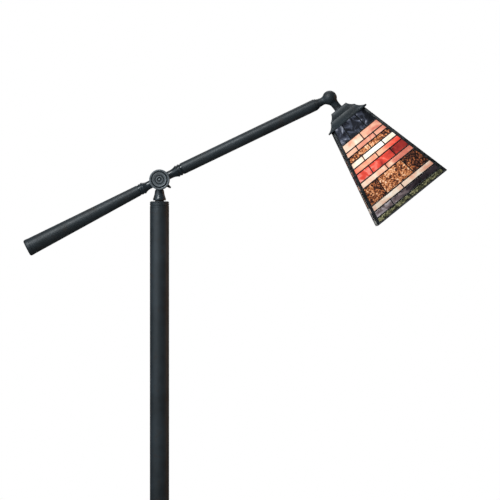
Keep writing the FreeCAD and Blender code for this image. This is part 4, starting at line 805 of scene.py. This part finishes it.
def solder_blob(place, width):
    """The flat blob where seams meet, at a (share, level) place of the panel."""
    blob = add_piece("blob", bpy.ops.mesh.primitive_uv_sphere_add,
                     segments=12, ring_count=8, radius=0.5)
    side = outward.cross(Vector((0, 0, 1))).normalized()
    up = side.cross(outward)
    turn = Matrix((side * width * MM, outward * BLOB_DEPTH * MM, up * width * MM))
    return put(blob, Matrix.Translation(on_panel(*place)) @ turn.transposed().to_4x4())


def quarter_turn(number):
    """The turn from the front panel to another one, counted to the left."""
    return Matrix.Rotation(number * math.pi / 2, 4, "Z")


seams = [solder_bead((-SEAM_REACH, PANEL_TOP + 0.9), (SEAM_REACH, PANEL_TOP + 0.9), 2.2, 4.2, 40)]
for row, (level, next_level) in enumerate(zip(row_levels, row_levels[1:])):
    if row:
        seams.append(solder_bead((-SEAM_REACH, level), (SEAM_REACH, level), SEAM + 0.35, 4.7, row))
    for share in ROW_CUTS[row % 2]:
        seams.append(solder_bead((share, level), (share, next_level), SEAM + 0.25, 4.6,
                                 60 + row + share))
        seams += [solder_blob((share, level), 4.3), solder_blob((share, next_level), 4.3)]
    seams += [solder_blob((-1, level), 4.6), solder_blob((1, level), 4.6)]
for side in (-1, 1):
    seams.append(solder_bead((side * SIDE_SEAM, PANEL_TOP), (side * SIDE_SEAM, PANEL_BOTTOM),
                             3.0, 4.5, 90 + side))
lattice = join("leading_front_soldered", seams)
lattice_mesh = lattice.data.copy()
for number, side in enumerate(("front", "left", "back", "right")):
    panel = lattice
    if number:
        panel = lattice.copy()
        panel.data = lattice_mesh.copy()
        panel.name = f"leading_{side}_soldered"
        bpy.context.collection.objects.link(panel)
    put(panel, shade_frame @ quarter_turn(number))
    finish(panel, "shade", patina, f"leading_{side}", crease=60)

# Corners and rim
# Where two panels meet, a square corner came is soldered along the edge, and a narrow came bar closes
# the bottom of each panel. Both are dressed round with solder and blackened like the seams.
CAME_EDGE = 1.1
CAME_OVERLAP = 0.3


def bar_between(name, ends, edge, segments):
    """A bar with rounded edges between two level ends: (left, right, front, back, level)."""
    bar = add_piece(name, bpy.ops.mesh.primitive_cube_add, size=1)
    corners = sorted(bar.data.vertices, key=lambda corner: (corner.co.z, corner.co.x, corner.co.y))
    places = [(x, y, level) for left, right, front, back, level in ends
              for x in (left, right) for y in (front, back)]
    for corner, place in zip(corners, places):
        corner.co = Vector(place) * MM
    bpy.ops.object.mode_set(mode="EDIT")
    bpy.ops.mesh.select_all(action="SELECT")
    bpy.ops.mesh.normals_make_consistent(inside=False)
    bpy.ops.mesh.bevel(offset=edge * MM, segments=segments)
    bpy.ops.object.mode_set(mode="OBJECT")
    return bar


for node, low, high in (("corner_cames", PANEL_TOP, PANEL_BOTTOM + CAME_OVERLAP),
                        ("shade_rim", PANEL_BOTTOM, RIM_BOTTOM)):
    ends = []
    for level in (low, high):
        wide = half_width(level)
        left = wide - CORNER if node == "corner_cames" else -wide
        ends.append((left, wide, -wide, CORNER - wide, level))
    bars = [put(bar_between("bar", ends, CAME_EDGE, 4), quarter_turn(number)) for number in range(4)]
    bars = put(join(f"{node}_soldered", bars), shade_frame)
    finish(bars, "shade", patina, node, crease=50)

# Glass
# Every row is cut from one sheet of streaky or mottled art glass, 2.6 mm thick: opalescent creams that
# light up almost white, ruby and salmon streaks, mottled amber, and dark blue, violet and olive that
# stay dim. Each piece is cut from another part of its sheet, with its edges ground and foiled.
GLASS_FRONT = 0.8
GLASS_BACK = 3.4
CAME_GAP = 1.2
FILAMENT = shade_frame @ Vector((0, 0, 150 * MM))
# Each row has its sheet, and for each of its pieces the sheet's tones at the left and at the right.
ROWS = (
    ("blue", (0.2, 0.62), (0.5, 0.5), (0.6, 0.75)),
    ("cream", (0.9, 0.7), (0.5, 0.45)),
    ("cream", (0.85, 0.8), (1.05, 0.85), (0.6, 0.7)),
    ("amber", (0.2, 0.64), (0.88, 0.2)),
    ("cream", (0.4, 0.3), (0.15, 0.05), (0.25, 0.35)),
    ("salmon", (0.15, 0.9), (0.85, 0.1)),
    ("red", (0.06, 0.2), (0.45, 0.6), (0.68, 0.64)),
    ("cream", (1.1, 0.66), (0.65, 0.75)),
    ("amber", (0.24, 0.26), (0.56, 0.66), (0.38, 0.34)),
    ("cream", (0.45, 0.4), (0.4, 0.35)),
    ("violet", (0.15, 0.2), (0.2, 0.66), (0.7, 0.88)),
    ("olive", (0.5, 0.72), (0.5, 0.8)),
)


def art_glass(name, ramp, streak, warp, stretch, painted_glow, drift, mottles=0.0):
    """A sheet of art glass. Its colours run along a ramp by the piece's tone and the streaks of the
    sheet, and the light of the bulb behind it is a painted glow, an emission in the ramp's colours that
    fades with the distance from the bulb."""
    glass, tree, shader, place = new_material(name)
    drawn = add_node(tree, "ShaderNodeMapping", {"Vector": place, "Scale": stretch})
    swirl = add_node(tree, "ShaderNodeTexNoise", {
        "Vector": drawn, "Scale": 1 / (streak * MM), "Detail": 3.0, "Distortion": warp})
    spots = add_node(tree, "ShaderNodeTexNoise", {
        "Vector": place, "Scale": 1 / (3.4 * MM), "Detail": 3.0, "Roughness": 0.65})
    ripple = add_node(tree, "ShaderNodeTexNoise", {
        "Vector": drawn, "Scale": 1 / (8.3 * MM), "Detail": 1.5, "Distortion": 0.4})
    tone = add_node(tree, "ShaderNodeAttribute", output="Fac", attribute_name="tone")
    shift = add_node(tree, "ShaderNodeMapRange", {
        "Value": swirl, "From Min": 0.32, "From Max": 0.68, "To Min": -drift, "To Max": drift})
    speck = add_node(tree, "ShaderNodeMapRange", {
        "Value": spots, "From Min": 0.35, "From Max": 0.65, "To Min": -mottles, "To Max": mottles})
    streaked = add_node(tree, "ShaderNodeMath", {0: tone, 1: shift}, operation="ADD")
    mottled = add_node(tree, "ShaderNodeMath", {0: streaked, 1: speck}, operation="ADD",
                       use_clamp=True)
    colours = add_node(tree, "ShaderNodeValToRGB", {0: mottled})
    stops = colours.node.color_ramp.elements
    while len(stops) < len(ramp):
        stops.new(0.5)
    for stop, (share, code) in zip(stops, ramp):
        stop.position = share
        stop.color = colour(code)
    away = add_node(tree, "ShaderNodeVectorMath", {0: place, 1: FILAMENT}, output="Value",
                    operation="DISTANCE")
    fill(tree, shader, {
        "Base Color": add_node(tree, "ShaderNodeMix", {
            0: 0.6, 6: colours, 7: (0, 0, 0, 1)}, output=2, data_type="RGBA"),
        "Roughness": 0.16,
        "IOR": 1.52,
        "Emission Color": colours,
        # Painted glow: the glass emits its own colours to stand in for the bulb's light shining through
        # it, weaker further from the bulb.
        "Emission Strength": add_node(tree, "ShaderNodeMapRange", {
            "Value": away, "From Min": 0.06, "From Max": 0.125,
            "To Min": painted_glow, "To Max": painted_glow * 0.46}),
        "Normal": add_node(tree, "ShaderNodeBump", {"Height": ripple, "Distance": 0.25 * MM}),
    })
    return glass


# Rolled art glass gives the eye a wet gloss over a slow ripple of 8.3 mm, and colours drawn out in
# streaks 14 to 33 mm wide. The amber and olive sheets are mottled as well, in spots of 3.4 mm.
# Slate blue is smoky with pale wisps. Cream is milky and lights up from almost white to a warm pink.
# Amber is orange with brown spots, salmon runs from coral to peach and ruby from wine red to rose.
# Grey violet and olive are so dense that they stay dim even with the bulb on.
SHEETS = {
    "blue": art_glass("streaky_slate_blue_glass", (
        (0.0, "#111216"), (0.45, "#22242b"), (0.75, "#464b59"), (1.0, "#a4a8b4")),
        17, 1.3, (1, 0.7, 1), 1.2, 0.4),
    "cream": art_glass("opalescent_cream_glass", (
        (0.0, "#fffaf0"), (0.35, "#f7e2cb"), (0.65, "#efb497"), (1.0, "#cc7462")),
        28, 0.8, (1, 0.45, 1), 1.02, 0.3),
    "amber": art_glass("mottled_amber_glass", (
        (0.0, "#1c1311"), (0.35, "#50322a"), (0.62, "#b8683a"), (0.8, "#dd9965"), (1.0, "#f2caa8")),
        18, 1.2, (1, 0.8, 1), 1.05, 0.25, mottles=0.42),
    "salmon": art_glass("streaky_salmon_glass", (
        (0.0, "#dc3f34"), (0.35, "#e8735c"), (0.65, "#eda888"), (1.0, "#f6d3b2")),
        33, 0.9, (1, 0.9, 1), 1.08, 0.3),
    "red": art_glass("streaky_ruby_glass", (
        (0.0, "#4f1a18"), (0.3, "#932e2a"), (0.65, "#d84a3b"), (1.0, "#ecaa9a")),
        24, 0.9, (1, 1.1, 1), 1.12, 0.26),
    "violet": art_glass("streaky_grey_violet_glass", (
        (0.0, "#1b161a"), (0.4, "#383035"), (0.75, "#766869"), (1.0, "#b8afb4")),
        17, 1.2, (1, 0.8, 1), 1.2, 0.26),
    "olive": art_glass("streaky_olive_glass", (
        (0.0, "#14140f"), (0.4, "#34342a"), (0.75, "#606143"), (1.0, "#99956f")),
        14, 1.6, (1, 0.6, 1), 1.1, 0.36, mottles=0.42),
}


def glass_piece(row, left, right, tones):
    """One piece of a row, cut to its window, with its ground edges rounded."""
    ends = []
    for level in (row_levels[row] + SEAM / 2, row_levels[row + 1] - SEAM / 2):
        wide = half_width(level)
        ends.append((left * (wide - CORNER) + (CAME_GAP if left == -1 else SEAM / 2),
                     right * (wide - CORNER) - (CAME_GAP if right == 1 else SEAM / 2),
                     GLASS_FRONT - wide, GLASS_BACK - wide, level))
    pane = bar_between("pane", ends, 0.3, 2)
    marks = pane.data.attributes.new("tone", "FLOAT", "POINT").data
    middle = (left + right) / 2
    for point, mark in zip(pane.data.vertices, marks):
        side = point.co.x / (half_width(point.co.z / MM) - CORNER) / MM
        mark.value = tones[0] if side < middle else tones[1]
    return pane


for sheet, material in SHEETS.items():
    panes = []
    for row, (name, *row_tones) in enumerate(ROWS):
        if name != sheet:
            continue
        cuts = (-1, *ROW_CUTS[row % 2], 1)
        for number in range(4):
            for left, right, tones in zip(cuts, cuts[1:], row_tones):
                change = 0.3 * noise.noise(Vector((row * 3.1, number * 5.7, left * 2.3)))
                if number == 0:
                    change = 0
                pane = glass_piece(row, left, right, (tones[0] + change, tones[1] - change))
                panes.append(put(pane, quarter_turn(number)))
    panel_glass = put(join(f"glass_{sheet}_panes", panes), shade_frame)
    finish(panel_glass, "shade", material, f"glass_{sheet}", crease=15)

# Lamp holder
# A brass shell and cap screw onto the nipple inside the shade and hold the bulb in an insulating core.
# A black turn key on a short shaft at its side switches the lamp.
KEY_LEVEL = 78.1
PADDLE_START = 25.0
PADDLE_LENGTH = 11.5

holder_cap = turn_on_lathe("socket_cap_spun", [
    (4.9, 56.05), (9.0, 56.05, 0.6), (14.5, 59.0, "via"), (16.5, 65.0), (16.5, 66.6, 0.3),
    (16.8, 67.4, 0.3), (16.5, 68.2, 0.3), (16.5, 71.05, 0.3), (15.3, 71.05), (15.3, 65.2),
    (13.5, 60.1, "via"), (8.6, 57.2), (4.9, 57.2),
], shade_frame, closed=True)
finish(holder_cap, "shade", raw_brass, "socket_cap")
holder_shell = turn_on_lathe("socket_shell_drawn", [
    (15.3, 71.1), (16.5, 71.1, 0.3), (16.5, 100.0), (16.5, 104.0, 0.5), (16.1, 105.0, 0.5),
    (16.5, 106.0, 0.5), (16.5, 110.4, 0.4), (15.3, 111.1, 0.3),
], shade_frame, closed=True)
finish(holder_shell, "shade", raw_brass, "socket_shell")
paint(black_plastic, "socket_core")

key_shaft = turn_on_lathe("key_shaft", [
    (0, 8.1), (1.6, 8.1), (1.6, 22.0), (2.6, 23.0, 0.5), (2.6, 25.5, 0.5), (0, 26.5),
], across, steps=32)
paddle = add_block("paddle", (-1.5, PADDLE_START, -2.7), (1.5, PADDLE_START + PADDLE_LENGTH, 2.7))
bpy.ops.object.mode_set(mode="EDIT")
bpy.ops.mesh.select_all(action="SELECT")
bpy.ops.mesh.subdivide(number_cuts=5)
bpy.ops.object.mode_set(mode="OBJECT")
for point in paddle.data.vertices:
    share = (point.co.y / MM - PADDLE_START) / PADDLE_LENGTH
    swell = math.sin(math.pi * min(1.0, 0.18 + 0.82 * share))
    point.co.z *= 1 + 1.35 * swell if share < 0.99 else 1.0
    point.co.x *= 1 - 0.25 * share
key = join("turn_key_moulded", [key_shaft, paddle])
put(key, shade_frame @ Matrix.Translation((0, 0, KEY_LEVEL * MM)))
finish(key, "key", black_plastic, "switch_key", crease=45)

# Bulb
# A frosted round bulb with a rolled screw base. It is lit, so its glass glows warm white all over.
THREAD_PITCH = 3.4

# Rolled aluminium gives the eye a bright, slightly scratched pale metal, stained in 2.5 mm patches.
bulb_screw = mottled_finish("rolled_aluminium", 2.5, 5.0, "#b6b8b9", "#d8d9d9", {"Metallic": 1.0},
                            gloss=(0.24, 0.38))
thread = []
for number in range(6):
    level = 90.5 + number * THREAD_PITCH
    thread += [(12.5, level, 0.6), (13.2, level + THREAD_PITCH / 2, 0.6)]
bulb_base = turn_on_lathe("bulb_base_rolled", [
    (0, 83.2), (4.5, 83.2, 0.5), (12.4, 87.6, 0.5), *thread, (12.7, 111.1, 0.3), (12.0, 111.1),
    (12.0, 88.5), (0, 85.2),
], shade_frame)
finish(bulb_base, "shade", bulb_screw, "bulb_base", crease=50)

# Acid-frosted glass with a filament behind it gives the eye a soft warm glow, brightest around the
# filament and dimmer towards the neck, over a fine 1 mm frost.
lit_glass, tree, shader, place = new_material("frosted_lit_glass")
frost = add_node(tree, "ShaderNodeTexNoise", {
    "Vector": place, "Scale": 1 / (1 * MM), "Detail": 3.0})
away = add_node(tree, "ShaderNodeVectorMath", {0: place, 1: FILAMENT}, output="Value",
                operation="DISTANCE")
fill(tree, shader, {
    "Base Color": add_node(tree, "ShaderNodeMix", {
        0: frost, 6: colour("#f1e7d8"), 7: colour("#fcf6ea")}, output=2, data_type="RGBA"),
    "Roughness": 0.35,
    "Emission Color": colour("#ffe2b4"),
    "Emission Strength": add_node(tree, "ShaderNodeMapRange", {
        "Value": away, "From Min": 0.02, "From Max": 0.045, "To Min": 3.2, "To Max": 2.0}),
    "Normal": add_node(tree, "ShaderNodeBump", {"Height": frost, "Distance": 0.05 * MM}),
})
globe = turn_on_lathe("bulb_globe_blown", [
    (12.5, 105.2), (12.5, 113.2), (15.0, 125.9, "via"), (19.4, 136.1), (22.9, 157.5, "via"),
    (0, 174.15), (0, 173.15), (21.9, 157.2, "via"), (18.6, 136.7), (14.2, 126.4, "via"),
    (11.6, 113.2), (11.6, 105.2),
], shade_frame, closed=True, steps=64)
finish(globe, "shade", lit_glass, "bulb_globe", crease=50)
